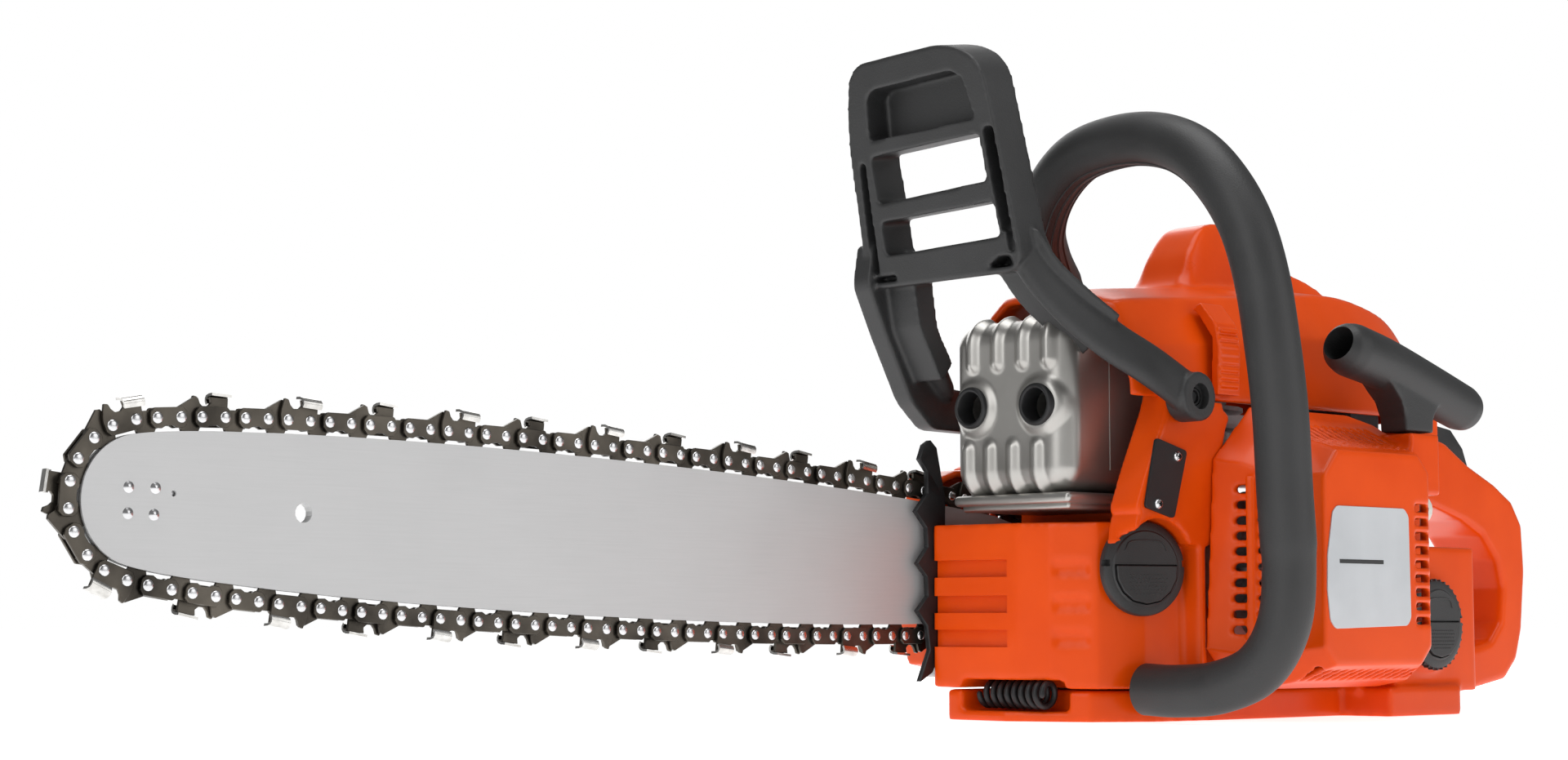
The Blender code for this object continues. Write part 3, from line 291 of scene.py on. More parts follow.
def piece(obj, finish, body="saw", stands_for=(), edge=0.0, steps=2, sharp=35):
    """Give a piece its finish, soft edges, body, slot and the nodes it stands for."""
    if not isinstance(obj, bpy.types.Object):
        obj = as_object(*obj)
    obj.data.materials.clear()
    obj.data.materials.append(finish)
    obj.data.shade_smooth()
    if edge:
        soft = obj.modifiers.new("edge", "BEVEL")
        soft.width, soft.segments, soft.limit_method = edge * MM, steps, "ANGLE"
        soft.angle_limit = math.radians(sharp)
        soft.harden_normals = True
    else:
        obj.data.set_sharp_from_angle(angle=math.radians(sharp))
    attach(obj, body)
    if stands_for:
        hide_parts(*stands_for)
    return obj


# %% Flat parts, round parts and swept parts
AXES = {"XY": lambda a, b, c: (a, b, c), "XZ": lambda a, b, c: (a, c, b),
        "YZ": lambda a, b, c: (c, a, b)}


def slab(points, plane, low, high, corner=0.0, steps=4, turn=None):
    """An outline filled at low and pushed to high, with its upright corners rounded."""
    bm = bmesh.new()
    put = AXES[plane]
    face = bm.faces.new([bm.verts.new(Vector(put(a, b, low)) * MM) for a, b in points])
    made = bmesh.ops.extrude_face_region(bm, geom=[face])["geom"]
    moved = [g for g in made if isinstance(g, bmesh.types.BMVert)]
    bmesh.ops.translate(bm, vec=Vector(put(0, 0, high - low)) * MM, verts=moved)
    ends = set(moved)
    upright = [e for v in moved for e in v.link_edges if (e.verts[0] in ends) != (e.verts[1] in ends)]
    if corner:
        bmesh.ops.bevel(bm, geom=upright, offset=corner * MM, segments=steps, profile=0.5,
                        affect="EDGES", clamp_overlap=True, material=-1)
    if turn:
        bmesh.ops.transform(bm, matrix=turn, verts=bm.verts)
    bmesh.ops.recalc_face_normals(bm, faces=bm.faces)
    return bm


def block(x0, x1, y0, y1, z0, z1, corner=0.0, steps=3):
    """A box between two corners, with all its edges rounded."""
    bm = bmesh.new()
    size = Matrix.Diagonal(((x1 - x0) * MM, (y1 - y0) * MM, (z1 - z0) * MM, 1))
    middle = Matrix.Translation(Vector(((x0 + x1) / 2, (y0 + y1) / 2, (z0 + z1) / 2)) * MM)
    bmesh.ops.create_cube(bm, size=1, matrix=middle @ size)
    if corner:
        bmesh.ops.bevel(bm, geom=bm.edges[:], offset=corner * MM, segments=steps, profile=0.5,
                        affect="EDGES", clamp_overlap=True, material=-1)
    return bm


def aimed(at, axis):
    """The place of a local frame whose Z runs along axis."""
    return Matrix.Translation(Vector(at) * MM) @ Vector(axis).to_track_quat("Z", "Y").to_matrix().to_4x4()


def drum(start, end, radius, sides=32):
    """A round bar between two points."""
    bm = bmesh.new()
    start, end = Vector(start), Vector(end)
    bmesh.ops.create_cone(bm, cap_ends=True, segments=sides, radius1=radius * MM, radius2=radius * MM,
                          depth=(end - start).length * MM, matrix=aimed((start + end) / 2, end - start))
    return bm


def turned(profile, at, axis, steps=40):
    """Spin a profile of (radius, height) pairs round an axis."""
    bm = bmesh.new()
    verts = [bm.verts.new((r * MM, 0, h * MM)) for r, h in profile]
    edges = [bm.edges.new(pair) for pair in zip(verts, verts[1:])]
    bmesh.ops.spin(bm, geom=verts + edges, cent=(0, 0, 0), axis=(0, 0, 1), angle=2 * math.pi,
                   steps=steps, use_merge=True)
    bmesh.ops.remove_doubles(bm, verts=bm.verts, dist=1e-6)
    bmesh.ops.recalc_face_normals(bm, faces=bm.faces)
    bmesh.ops.transform(bm, matrix=aimed(at, axis), verts=bm.verts)
    return bm


def curve_through(points, per=6):
    """A smooth line through points, with per steps between each two."""
    points = [Vector(p) for p in points]
    ends = [2 * points[0] - points[1]] + points + [2 * points[-1] - points[-2]]
    line = []
    for a, b, c, d in zip(ends, ends[1:], ends[2:], ends[3:]):
        for k in range(per):
            t = k / per
            line.append(0.5 * (2 * b + (c - a) * t + (2 * a - 5 * b + 4 * c - d) * t * t
                               + (3 * b - a - 3 * c + d) * t ** 3))
    return line + [points[-1]]


def swept(route, radius, sides=20, flat=1.0, round_ends=0, facing=(0, 0, 1), sizes=None):
    """Carry a ring of edges along a route and close its ends."""
    route = [Vector(p) for p in route]
    sizes = sizes or [1.0] * len(route)
    places = []
    side = None
    for k, point in enumerate(route):
        way = (route[min(k + 1, len(route) - 1)] - route[max(k - 1, 0)]).normalized()
        side = Vector(facing) if side is None else side
        side = (side - way * side.dot(way)).normalized()
        turn = Matrix((side, way.cross(side), way)).transposed().to_4x4()
        places.append((point, turn, sizes[k]))
    if round_ends:
        def cap(point, turn, size, sense):
            for j in range(round_ends, 0, -1):
                a = j / (round_ends + 0.35) * math.pi / 2
                shift = turn.to_3x3() @ Vector((0, 0, sense * radius * size * math.sin(a)))
                yield point + shift, turn, size * math.cos(a)
        places = (list(cap(*places[0], -1)) + places + list(cap(*places[-1], 1))[::-1])
    frames = [Matrix.Translation(p * MM) @ turn @ Matrix.Diagonal((s, s * flat, s, 1))
              for p, turn, s in places]
    bm = bmesh.new()
    bmesh.ops.create_circle(bm, segments=sides, radius=radius * MM, matrix=frames[0])
    edges = bm.edges[:]
    bmesh.ops.edgeloop_fill(bm, edges=edges)
    for before, after in zip(frames, frames[1:]):
        made = bmesh.ops.extrude_edge_only(bm, edges=edges)["geom"]
        verts = [g for g in made if isinstance(g, bmesh.types.BMVert)]
        fresh = set(verts)
        edges = [g for g in made if isinstance(g, bmesh.types.BMEdge)
                 and g.verts[0] in fresh and g.verts[1] in fresh]
        bmesh.ops.transform(bm, matrix=after @ before.inverted(), verts=verts)
    bmesh.ops.edgeloop_fill(bm, edges=edges)
    bmesh.ops.recalc_face_normals(bm, faces=bm.faces)
    return bm


# %% Join, cut and mould
def combine(obj, tools, operation):
    """Boolean a list of bmeshes with an object, one after another."""
    for bm in tools:
        tool = as_object("tool", bm)
        step = obj.modifiers.new("step", "BOOLEAN")
        step.object, step.operation, step.solver = tool, operation, "EXACT"
        applied(obj)
        bpy.data.objects.remove(tool, do_unlink=True)
    return obj


def copy_of(node, name):
    """A welded copy of a working part's mesh."""
    bm = bmesh.new()
    bm.from_mesh(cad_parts[node].data)
    bmesh.ops.remove_doubles(bm, verts=bm.verts, dist=1e-6)
    return as_object(name, bm)


def moulded(obj, add=(), cut=(), bore=(), voxel=0.9, rounds=8, finish=None, **facts):
    """Cut an object, lay more solids into it, remesh it evenly, smooth it and bore it.

    The remesh joins whatever overlaps, and the bores come last so that they stay crisp."""
    combine(obj, cut, "DIFFERENCE")
    if add:
        own = bmesh.new()
        own.from_mesh(obj.data)
        whole = many([own] + list(add))
        whole.to_mesh(obj.data)
        whole.free()
    net = obj.modifiers.new("net", "REMESH")
    net.mode, net.voxel_size = "VOXEL", voxel * MM
    relax = obj.modifiers.new("relax", "SMOOTH")
    relax.factor, relax.iterations = 0.5, rounds
    applied(obj)
    combine(obj, bore, "DIFFERENCE")
    obj = piece(obj, finish or ORANGE, sharp=60, **facts)
    print(obj.name, len(obj.data.polygons), "faces")
    return obj


def many(bms):
    """Several bmeshes as one."""
    whole = bmesh.new()
    for bm in bms:
        mesh = bpy.data.meshes.new("part")
        bm.to_mesh(mesh)
        bm.free()
        whole.from_mesh(mesh)
        bpy.data.meshes.remove(mesh)
    return whole

# %% [markdown]
# ## Bar and chain
# The guide bar is a plate with a groove round its rim, so its working shape only needs softened
# edges, four spot rivets that hold the nose together, and a small grease hole. The chain is 64
# drive links in the groove with a strap on each side at every joint. Every fourth strap on a side
# is a cutter, so cutters alternate from side to side. One link of each kind is made, and copies
# are set along the rivet line, the same curve that shaped the working chain.

# %% The rivet line
BAR_Y, BAR_TILT, CRANK_X, CRANK_Z = 50.0, math.radians(2.32), -5.0, 59.8
NOSE_S, NOSE_R, DRIVE_R = -462.1, 26.27, 18.39
NOSE_LEAVE, DRIVE_LEAVE = math.radians(13.3), math.radians(17.6)


def bar_point(s, t):
    """Along the bar and up from its middle line, as a point in the saw's frame."""
    c, k = math.cos(BAR_TILT), math.sin(BAR_TILT)
    return Vector((s * c + t * k, BAR_Y, CRANK_Z - 0.2 - s * k + t * c))


def rivet_line():
    """Half of the loop, from the nose tip over the top to the drive sprocket."""
    line = [Vector((NOSE_S - NOSE_R * math.cos(a), NOSE_R * math.sin(a)))
            for a in (k / 90 * (math.pi / 2 - NOSE_LEAVE) for k in range(90))]
    start = Vector((NOSE_S - NOSE_R * math.sin(NOSE_LEAVE), NOSE_R * math.cos(NOSE_LEAVE)))
    end = Vector((CRANK_X + DRIVE_R * math.sin(DRIVE_LEAVE), DRIVE_R * math.cos(DRIVE_LEAVE)))
    one = start + 49.6 * Vector((math.cos(NOSE_LEAVE), math.sin(NOSE_LEAVE)))
    two = end + 68.9 * Vector((-math.cos(DRIVE_LEAVE), math.sin(DRIVE_LEAVE)))
    for k in range(700):
        t = k / 700
        line.append((1 - t) ** 3 * start + 3 * (1 - t) ** 2 * t * one + 3 * (1 - t) * t * t * two
                    + t ** 3 * end)
    line += [Vector((CRANK_X - DRIVE_R * math.cos(a), DRIVE_R * math.sin(a)))
             for a in (math.pi / 2 + DRIVE_LEAVE + k / 60 * (math.pi / 2 - DRIVE_LEAVE)
                       for k in range(61))]
    return line + [Vector((p.x, -p.y)) for p in line[-2:0:-1]]


LOOP = rivet_line()
RUN = [0.0]
for a, b in zip(LOOP, LOOP[1:] + LOOP[:1]):
    RUN.append(RUN[-1] + (b - a).length)
PITCH = RUN[-1] / 64
STRAP = 8.75 / (8.75 + 7.76) * PITCH
print("chain loop", round(RUN[-1], 1), "mm, strap pitch", round(PITCH, 2), "mm")


def on_loop(length):
    """A point on the rivet line at a length round it."""
    length %= RUN[-1]
    k = max(i for i in range(0, len(LOOP), 64) if RUN[i] <= length)
    while RUN[k + 1] <= length:
        k += 1
    share = (length - RUN[k]) / (RUN[k + 1] - RUN[k])
    return LOOP[k].lerp(LOOP[(k + 1) % len(LOOP)], share)


def link_place(first, second):
    """The frame of a link between two rivets: X along the travel, Z away from the bar."""
    a, b = bar_point(*on_loop(first)), bar_point(*on_loop(second))
    along = (b - a).normalized()
    out = Vector((0, 1, 0)).cross(along) * -1
    turn = Matrix((along, Vector((0, 1, 0)), out)).transposed().to_4x4()
    return Matrix.Translation((a + b) / 2 * MM) @ turn


# %% One of each kind of link
def strap_plate(y0, y1):
    """A tie strap: an octagonal end round each rivet and a slight waist."""
    shape = [(-6.9, -1.6), (-5.4, -3.3), (-2.9, -3.5), (-1.4, -2.7), (1.4, -2.7), (2.9, -3.5),
             (5.4, -3.3), (6.9, -1.6), (6.9, 1.6), (5.4, 3.4), (-5.4, 3.4), (-6.9, 1.6)]
    return slab(shape, "XZ", y0, y1)


def cutter_plate(y0, y1):
    """The side of a cutter: strap, depth gauge in front and the wall of the tooth behind."""
    shape = [(-6.9, -1.6), (-5.4, -3.3), (5.4, -3.3), (6.9, -1.6), (7.2, 3.4), (7.4, 6.6),
             (0.6, 7.0), (0.9, 5.0), (-0.4, 3.9), (-2.4, 3.9), (-3.6, 5.2), (-4.3, 7.0),
             (-5.8, 7.4), (-6.5, 5.4), (-7.1, 3.4), (-7.3, 1.6)]
    return slab(shape, "XZ", y0, y1)


def drive_link(dip, ramp):
    """A drive link: two rivet ends, a pointed tang below and, before a cutter, a ramp above."""
    shape = [(-5.6, -2.6), (-3.4, -3.4), (-1.6, dip), (1.2, dip), (3.8, -3.4), (5.6, -2.6), (5.6, 2.6)]
    if ramp:
        shape += [(4.4, 3.4), (3.4, 6.4), (2.2, 6.9), (-4.6, 3.2)]
    return slab(shape + [(-5.6, 2.6)], "XZ", BAR_Y - 0.65, BAR_Y + 0.65)


def tooth_top(side):
    """The rolled top of a cutter: a strip bent from the wall over the chain, then thickened."""
    bend = [(-3.6, 4.4), (-4.3, 5.6), (-4.2, 6.8), (-3.4, 7.7), (-1.6, 8.2), (0.6, 8.3)]
    bm = bmesh.new()
    verts = [bm.verts.new(Vector((0.4, -side * y, z)) * MM) for y, z in bend]
    edges = [bm.edges.new(pair) for pair in zip(verts, verts[1:])]
    made = bmesh.ops.extrude_edge_only(bm, edges=edges)["geom"]
    moved = [g for g in made if isinstance(g, bmesh.types.BMVert)]
    bmesh.ops.translate(bm, vec=Vector((7.4, 0, 0)) * MM, verts=moved)
    for v in moved:
        v.co.z -= 0.7 * MM
    bmesh.ops.recalc_face_normals(bm, faces=bm.faces)
    bmesh.ops.solidify(bm, geom=bm.faces[:], thickness=0.9 * MM)
    bmesh.ops.recalc_face_normals(bm, faces=bm.faces)
    bmesh.ops.translate(bm, vec=Vector((0, BAR_Y * MM, 0)), verts=bm.verts)
    return bm


def rivet_head(side):
    """A low domed rivet head with a bright spun rim."""
    return turned([(0, 0.62), (1.1, 0.56), (1.75, 0.34), (2.0, 0.0), (2.0, -0.4)],
                  (0, BAR_Y + side * 2.32, 0), (0, side, 0), steps=14)


def laid(one, places):
    """Copies of a small bmesh, one at each place. Their Y is already the saw's."""
    whole = bmesh.new()
    mesh = bpy.data.meshes.new("one")
    one.to_mesh(mesh)
    one.free()
    for place in places:
        before = len(whole.verts)
        whole.from_mesh(mesh)
        whole.verts.ensure_lookup_table()
        local = place.copy()
        local.translation.y = 0
        bmesh.ops.transform(whole, matrix=local, verts=whole.verts[before:])
    bpy.data.meshes.remove(mesh)
    return whole


# %% Lay the links round the bar
strap_places = [link_place(k * PITCH - STRAP / 2, k * PITCH + STRAP / 2) for k in range(64)]
drive_places = [link_place(k * PITCH + STRAP / 2, (k + 1) * PITCH - STRAP / 2) for k in range(64)]
turning = {k for k in range(64) if abs((k + 0.5) * PITCH - RUN[-1] / 2) < 52}
leads = {k for k in range(64) if k % 2 == 1}   # the drive link just behind each cutter's travel
near_cut = [p for k, p in enumerate(strap_places) if k % 4 == 2]
far_cut = [p for k, p in enumerate(strap_places) if k % 4 == 0]
near_tie = [p for k, p in enumerate(strap_places) if k % 4 != 2]
far_tie = [p for k, p in enumerate(strap_places) if k % 4 != 0]

DIPS = ((-4.2, turning), (-8.6, set(range(64)) - turning))   # short tangs round the sprocket
drive = many([laid(drive_link(dip, ramp), [p for k, p in enumerate(drive_places)
                                           if k in group and (k in leads) == ramp])
              for dip, group in DIPS for ramp in (True, False)])
piece(("drive_links", drive), OILED, stands_for=("chain_drive_links",))
for word, side, ties, cutters, node in (("near", -1, near_tie, near_cut, "chain_left_straps"),
                                        ("far", 1, far_tie, far_cut, "chain_right_straps")):
    y0, y1 = sorted((BAR_Y + side * 1.0, BAR_Y + side * 2.25))
    piece((word + "_tie_straps", laid(strap_plate(y0, y1), ties)), OILED, edge=0.25, steps=1,
          stands_for=(node,))
    piece((word + "_cutter_sides", laid(cutter_plate(y0, y1), cutters)), OILED, edge=0.2, steps=1)
    piece((word + "_cutter_tops", laid(tooth_top(side), cutters)), CHROMED, sharp=50)
    heads = [place @ Matrix.Translation(Vector((shift * STRAP / 2, 0, 0)) * MM)
             for place in strap_places for shift in (-1, 1)]
    piece((word + "_rivet_heads", laid(rivet_head(side), heads)), PLATED, sharp=50)


# %% The bar with its rivets
bar = copy_of("bar", "guide_bar")
GREASE_HOLE = drum((-450.3, 40, 80.9), (-450.3, 60, 80.9), 1.0, 16)
combine(bar, [GREASE_HOLE], "DIFFERENCE")
piece(bar, BARSTEEL, stands_for=("bar",), edge=0.35, steps=2, sharp=40)
bar.data.shade_flat()
bar.modifiers["edge"].harden_normals = False
spots = []
for x, z in ((-466.6, 82.5), (-456.9, 82.5), (-466.7, 74.0), (-457.3, 73.8)):
    for side in (-1, 1):
        spots.append(turned([(0, 0.75), (0.9, 0.6), (1.5, 0.25), (1.9, 0.02), (2.3, -0.2), (2.4, -0.5)],
                            (x, BAR_Y + side * 2.0, z), (0, side, 0), steps=24))
piece(("nose_rivets", many(spots)), PLATED, sharp=60)

# %% [markdown]
# ## Front casting, grooves and bumper
# The orange housing in front of the engine also holds the chain oil. It is a moulding with a flat
# nose, a folded corner, three shallow grooves on each side of the fold, and a flank that climbs to
# the guard's pivot. Both halves of the case and the flank are remeshed into one, so that no seam
# crosses the nose. The nose's grooves are cut after that and stay crisp.
# The spiked bumper is a flat steel stamping, so a small bevel is all that it needs.

# %% Front housing
HEIGHTS = (61.0, 46.6, 32.9)


def turned_about(x, y, angle):
    """A turn round an upright axis at x, y."""
    pivot = Vector((x, y, 0)) * MM
    return Matrix.Translation(pivot) @ Matrix.Rotation(angle, 4, "Z") @ Matrix.Translation(-pivot)


def groove_tools(y0, y1, half, floor_x, turn):
    """One cutter per groove, from in front of the nose back to floor_x."""
    return [slab([(y0, z - half), (y1, z - half), (y1, z + half), (y0, z + half)], "YZ", -112, floor_x,
                 turn=turn) for z in HEIGHTS]


front_grooves = groove_tools(4.5, 60, 3.5, -95.6, turned_about(-98.5, 0, math.atan2(4.5, 42)))
side_grooves = groove_tools(-29.5, -14.8, 3.3, -92.9, turned_about(-94, -14, -math.atan2(-10, 16)))
# The flank climbs from above the oil cap to the guard's pivot and meets the starter cover.
flank = [(-87, 82), (-80, 98), (-73, 112), (-67, 124), (-63, 136), (-52, 137), (-38, 126), (-27, 123),
         (-44.2, 90.4), (-48, 80)]
adds = [slab(flank, "XZ", -53.2, -38, corner=3), block(-48.4, -44, -53.0, -30, 14, 92)]
bar_side = bmesh.new()
bar_side.from_mesh(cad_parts["crankcase_right"].data)
moulded(copy_of("crankcase_left", "front_housing"), cut=side_grooves, add=adds + [bar_side],
        bore=front_grooves, voxel=1.25, rounds=3, stands_for=("crankcase_left", "crankcase_right"))
piece(copy_of("bumper", "spiked_bumper"), BLACK, stands_for=("bumper",), edge=0.5, steps=2)

# %% [markdown]
# ## Muffler
# The muffler is a pressed sheet box. Its front has four short ribs at the top and four at the
# bottom, which stiffen it, and a round mound about each outlet pipe. A finely divided cube is
# rounded by moving each vertex to a set distance from an inner box, and then the ribs and mounds
# are raised by how near each vertex is to their middle lines.

# %% Lofts
def lofted(rings):
    """Bridge a row of rings of points and close both ends."""
    bm = bmesh.new()
    loops = []
    for ring in rings:
        verts = [bm.verts.new(Vector(p) * MM) for p in ring]
        loops.append([bm.edges.new(pair) for pair in zip(verts, verts[1:] + verts[:1])])
    for before, after in zip(loops, loops[1:]):
        bmesh.ops.bridge_loops(bm, edges=before + after)
    bmesh.ops.edgeloop_fill(bm, edges=loops[0])
    bmesh.ops.edgeloop_fill(bm, edges=loops[-1])
    bmesh.ops.recalc_face_normals(bm, faces=bm.faces)
    return bm


# %% Muffler front
def rise(distance, reach):
    """1 at the middle, falling smoothly to 0 at reach."""
    t = max(0.0, min(1.0, 1 - distance / reach))
    return t * t * (3 - 2 * t)


OUTLETS = [(19.4, 125.9), (-15.8, 125.4)]
RIBS = ([(y, 143.5, 166) for y in (20.5, 7.0, -6.5, -20.0)]
        + [(y, 86, 109) for y in (23.5, 11.5, -1.0, -14.0)])
LOW, HIGH, CORNER = Vector((-101, -28.8, 91)), Vector((-56, 33.6, 161)), 10.0
shell = bmesh.new()
bmesh.ops.create_cube(shell, size=2)
bmesh.ops.subdivide_edges(shell, edges=shell.edges[:], cuts=90, use_grid_fill=True)
middle, half = (LOW + HIGH) / 2, (HIGH - LOW) / 2
for v in shell.verts:
    p = Vector([v.co[i] * half[i] for i in range(3)])
    inner = Vector([max(CORNER - half[i], min(half[i] - CORNER, p[i])) for i in range(3)])
    away = (p - inner).normalized()
    p = middle + inner + away * CORNER
    if p.x < -84:
        front = rise(p.x + 101, 17)
        lift = 0.0
        for y, z0, z1 in RIBS:
            lift = max(lift, 2.3 * rise(math.hypot(p.y - y, p.z - max(z0, min(z1, p.z))), 4.6))
        for y, z in OUTLETS:
            lift = max(lift, 2.0 * rise(max(0.0, math.hypot(p.y - y, p.z - z) - 8.5), 4.5))
        p += away * lift * min(1.0, front * 3)
    v.co = p * MM
muffler = as_object("muffler_shell", shell)
combine(muffler, [drum((-112, y, z), (-70, y, z), 6.5, 40) for y, z in OUTLETS], "DIFFERENCE")
piece(muffler, PRESSED, stands_for=("muffler_front",), sharp=50)
pipes = [turned([(6.45, 6), (6.45, -2.6), (7.0, -3.2), (8.0, -3.0), (8.5, -2.2), (8.7, 6)],
                (-104.2 + 2.6, y, z), (1, 0, 0), steps=48) for y, z in OUTLETS]
piece(("outlet_pipes", many(pipes)), BLACK, sharp=60)
# Painted shade: a black disc near the bottom of each outlet bore stands for the dark hollow inside the
# muffler.
piece(("outlet_painted_shade", many([drum((-74, y, z), (-73, y, z), 6.4, 32) for y, z in OUTLETS])), BLACK)
piece(("muffler_flange", many([block(-100, -48, -29.5, 33.5, 86.2, 90.6, corner=2.1, steps=5),
                               block(-97, -48, -27, 31, 84.0, 87.0, corner=1.2)])), PRESSED, sharp=60)

# %% [markdown]
# ## Hand guard
# The guard is one dark moulding. A panel about 90 mm square leans forward over the muffler. Its
# face has a blind pocket, two windows and a narrow hollow channel down each side, and its side
# walls are broad. A curved band runs back to the pivot on the starter side, and a deep web
# does so on the bar side. The panel is cut first, the arms are laid into it, and the remesh joins
# them. The pivot's holes are bored last, and a recessed screw sits in the near one.

# %% Guard panel and arms
PIVOT_X, PIVOT_Z = -60.7, 128
LEANING = Matrix.Translation(Vector((-123, 0, 182)) * MM) @ Matrix.Rotation(math.radians(-9.5), 4, "Y")


def on_guard(points, low, high, corner=0.0):
    """A slab in the guard's own plane, low and high counted back from its face."""
    return slab(points, "YZ", low, high, corner=corner, steps=6, turn=LEANING)


panel = as_object("guard", on_guard([(-27, -6), (60.5, -6), (61, 60), (56, 86.5), (1, 88), (-17, 79)],
                                    0, 17.5, corner=9))
arm = curve_through([(-113, -19.5, 190), (-110.5, -26, 176), (-104, -36, 162), (-94, -46.5, 149.5),
                     (-80, -55, 139.5), (-62.5, -59, 129.5)], 5)
web = curve_through([(-112, -14, 187), (-107, -22, 173), (-99, -31, 161), (-90, -38, 151.5)], 5)
guard_adds = [swept(arm, 9.4, sides=24, flat=0.5, facing=(1, 0, 1), round_ends=3),
              swept(web, 15, sides=20, flat=0.18, facing=(0, 1, 0)),
              drum((PIVOT_X, -64.5, PIVOT_Z), (PIVOT_X, -53.7, PIVOT_Z), 9.8, 40),
              swept([(-110, 49, 184), (-105, 50, 168), (-99, 52, 156), (-92, 55, 147), (-84, 58, 139)], 9,
                    sides=20, flat=0.5, facing=(0, 1, 0), round_ends=3),
              slab([(-123, 196), (-106, 192), (-100, 158), (-86, 138.5), (-61, 136.5), (-53, 128),
                    (-60, 119.5), (-88, 120), (-101, 131), (-116, 158), (-126, 178)],
                   "XZ", 55.5, 65.5, corner=3),
              slab([(-118, 190), (-106, 190), (-101, 160), (-92, 146), (-99, 138), (-112, 160)],
                   "XZ", 40, 60, corner=2)]
guard_cuts = [on_guard([(-10.5, 56), (49, 54.5), (48, 72), (44, 75), (0, 76.5), (-6, 73)], -5, 12.5,
                       corner=2),
              on_guard([(-13, 31), (48, 28.5), (49.5, 48), (-11.5, 50)], -5, 30, corner=2),
              on_guard([(-16.5, 8.5), (47, 7), (48, 21), (-15, 22.5)], -5, 30, corner=2),
              on_guard([(-19.8, 12), (-17.8, 52), (-13.8, 52), (-15.4, 30), (-18.6, 4)], -5, 11),
              on_guard([(-23.6, 2), (-20.2, 2), (-16.2, 52), (-19.2, 52)], -5, 13),
              on_guard([(52.5, 0), (56.8, 0), (56.5, 46), (53.2, 46)], -5, 13),
              on_guard([(-22, -3.6), (-6, -3.6), (-14, 0.6), (-21, 0.6)], -5, 12),
              on_guard([(43, -3.6), (57, -3.6), (57, -1.2), (43, -1.2)], -5, 12)]
guard_bores = [drum((PIVOT_X, -70, PIVOT_Z), (PIVOT_X, -61.5, PIVOT_Z), 5.2, 32),
               drum((PIVOT_X, -70, PIVOT_Z), (PIVOT_X, -50, PIVOT_Z), 3.7, 24),
               drum((PIVOT_X, 50, PIVOT_Z), (PIVOT_X, 70, PIVOT_Z), 3.7, 24)]
moulded(panel, add=guard_adds, cut=guard_cuts, bore=guard_bores, voxel=0.8, rounds=5, finish=DARK,
        body="guard", stands_for=("hand_guard",))


# %% A recessed screw with a six-lobed socket
def screw(at, axis, radius, name):
    """A domed screw head with a six-lobed hole."""
    head = as_object(name, turned([(0, 1.5), (radius * 0.6, 1.3), (radius * 0.92, 0.7), (radius, 0.0),
                                   (radius, -1.2), (0, -1.2)], at, axis, steps=32))
    lobes = []
    place = aimed(at, axis)
    for k in range(3):
        turn = place @ Matrix.Rotation(k * math.pi / 3, 4, "Z")
        bm = bmesh.new()
        bmesh.ops.create_cube(bm, size=1, matrix=turn @ Matrix.Diagonal(
            (radius * 1.05 * MM, radius * 0.34 * MM, 3.4 * MM, 1)))
        lobes.append(bm)
    combine(head, lobes, "DIFFERENCE")
    return piece(head, PLATED, edge=0.12, steps=2)


pivot_screw = as_object("guard_pivot_screw", turned([(0, 2.2), (2.2, 2.2), (2.6, 3.4), (3.4, 3.4), (3.4, -6),
                                                     (0, -6)], (PIVOT_X, -58, PIVOT_Z), (0, -1, 0),
                                                    steps=32))
piece(pivot_screw, BLACK, stands_for=("guard_screw_left",), edge=0.2)

# %% [markdown]
# ## Front handle and its spring
# The front handle is one thick tube that starts under the engine, comes round the starter side,
# climbs over the top and ends on a tower on the bar side. A soft grip covers most of it: it is a
# little thicker than the tube, ends in a step low on the starter side, and has a few lengthwise
# ribs. A ring of edges is carried along the route and its size follows the grip. The spring that
# isolates the handle from the engine is a round wire, wound in the bay under the case.

# %% Front handle
HANDLE = [(-69, -42, 13.0), (-69, -58, 12.6), (-68, -78, 14.5), (-65.5, -95, 22), (-63.5, -105, 38),
          (-63.5, -108, 60), (-65.5, -108, 90), (-67.5, -108, 120), (-70.5, -107, 146),
          (-71.5, -103.5, 170), (-72, -97, 191), (-72, -86, 209), (-71, -71, 223), (-70, -52, 231),
          (-69, -30, 233), (-67.5, -8, 229.5), (-63.5, 10, 219), (-56, 23.5, 205), (-41, 34, 194),
          (-22, 43, 183), (-6, 49.5, 168), (2.5, 53, 150), (4.5, 54, 132), (4.5, 54, 114.4)]
route = curve_through(HANDLE, 10)
grip_from, grip_to = 52, len(route) - 42
sizes = [1.0 if grip_from <= k <= grip_to else 0.955 for k in range(len(route))]
for k in (grip_from, grip_to):
    sizes[k] = 0.97
handle = swept(route, 10.7, sides=48, facing=(1, 0, 0), sizes=sizes)
piece(("front_handle_tube", handle), DARK, stands_for=("front_handle",), sharp=50)


def along_route(offset, angle, first, last):
    """A line on the handle's surface, at an angle round it from its rear side."""
    line = []
    side = Vector((1, 0, 0))
    for k in range(first, last):
        way = (route[min(k + 1, len(route) - 1)] - route[max(k - 1, 0)]).normalized()
        side = (side - way * side.dot(way)).normalized()
        other = way.cross(side)
        line.append(Vector(route[k]) + offset * (math.cos(angle) * side + math.sin(angle) * other))
    return line


ribs = [swept(along_route(10.55, a, grip_from + 26, grip_to - 2), 0.62, sides=8)
        for a in (math.radians(d) for d in (52, 70, 88, 106))]
piece(("grip_ribs", many(ribs)), DARK, sharp=60)

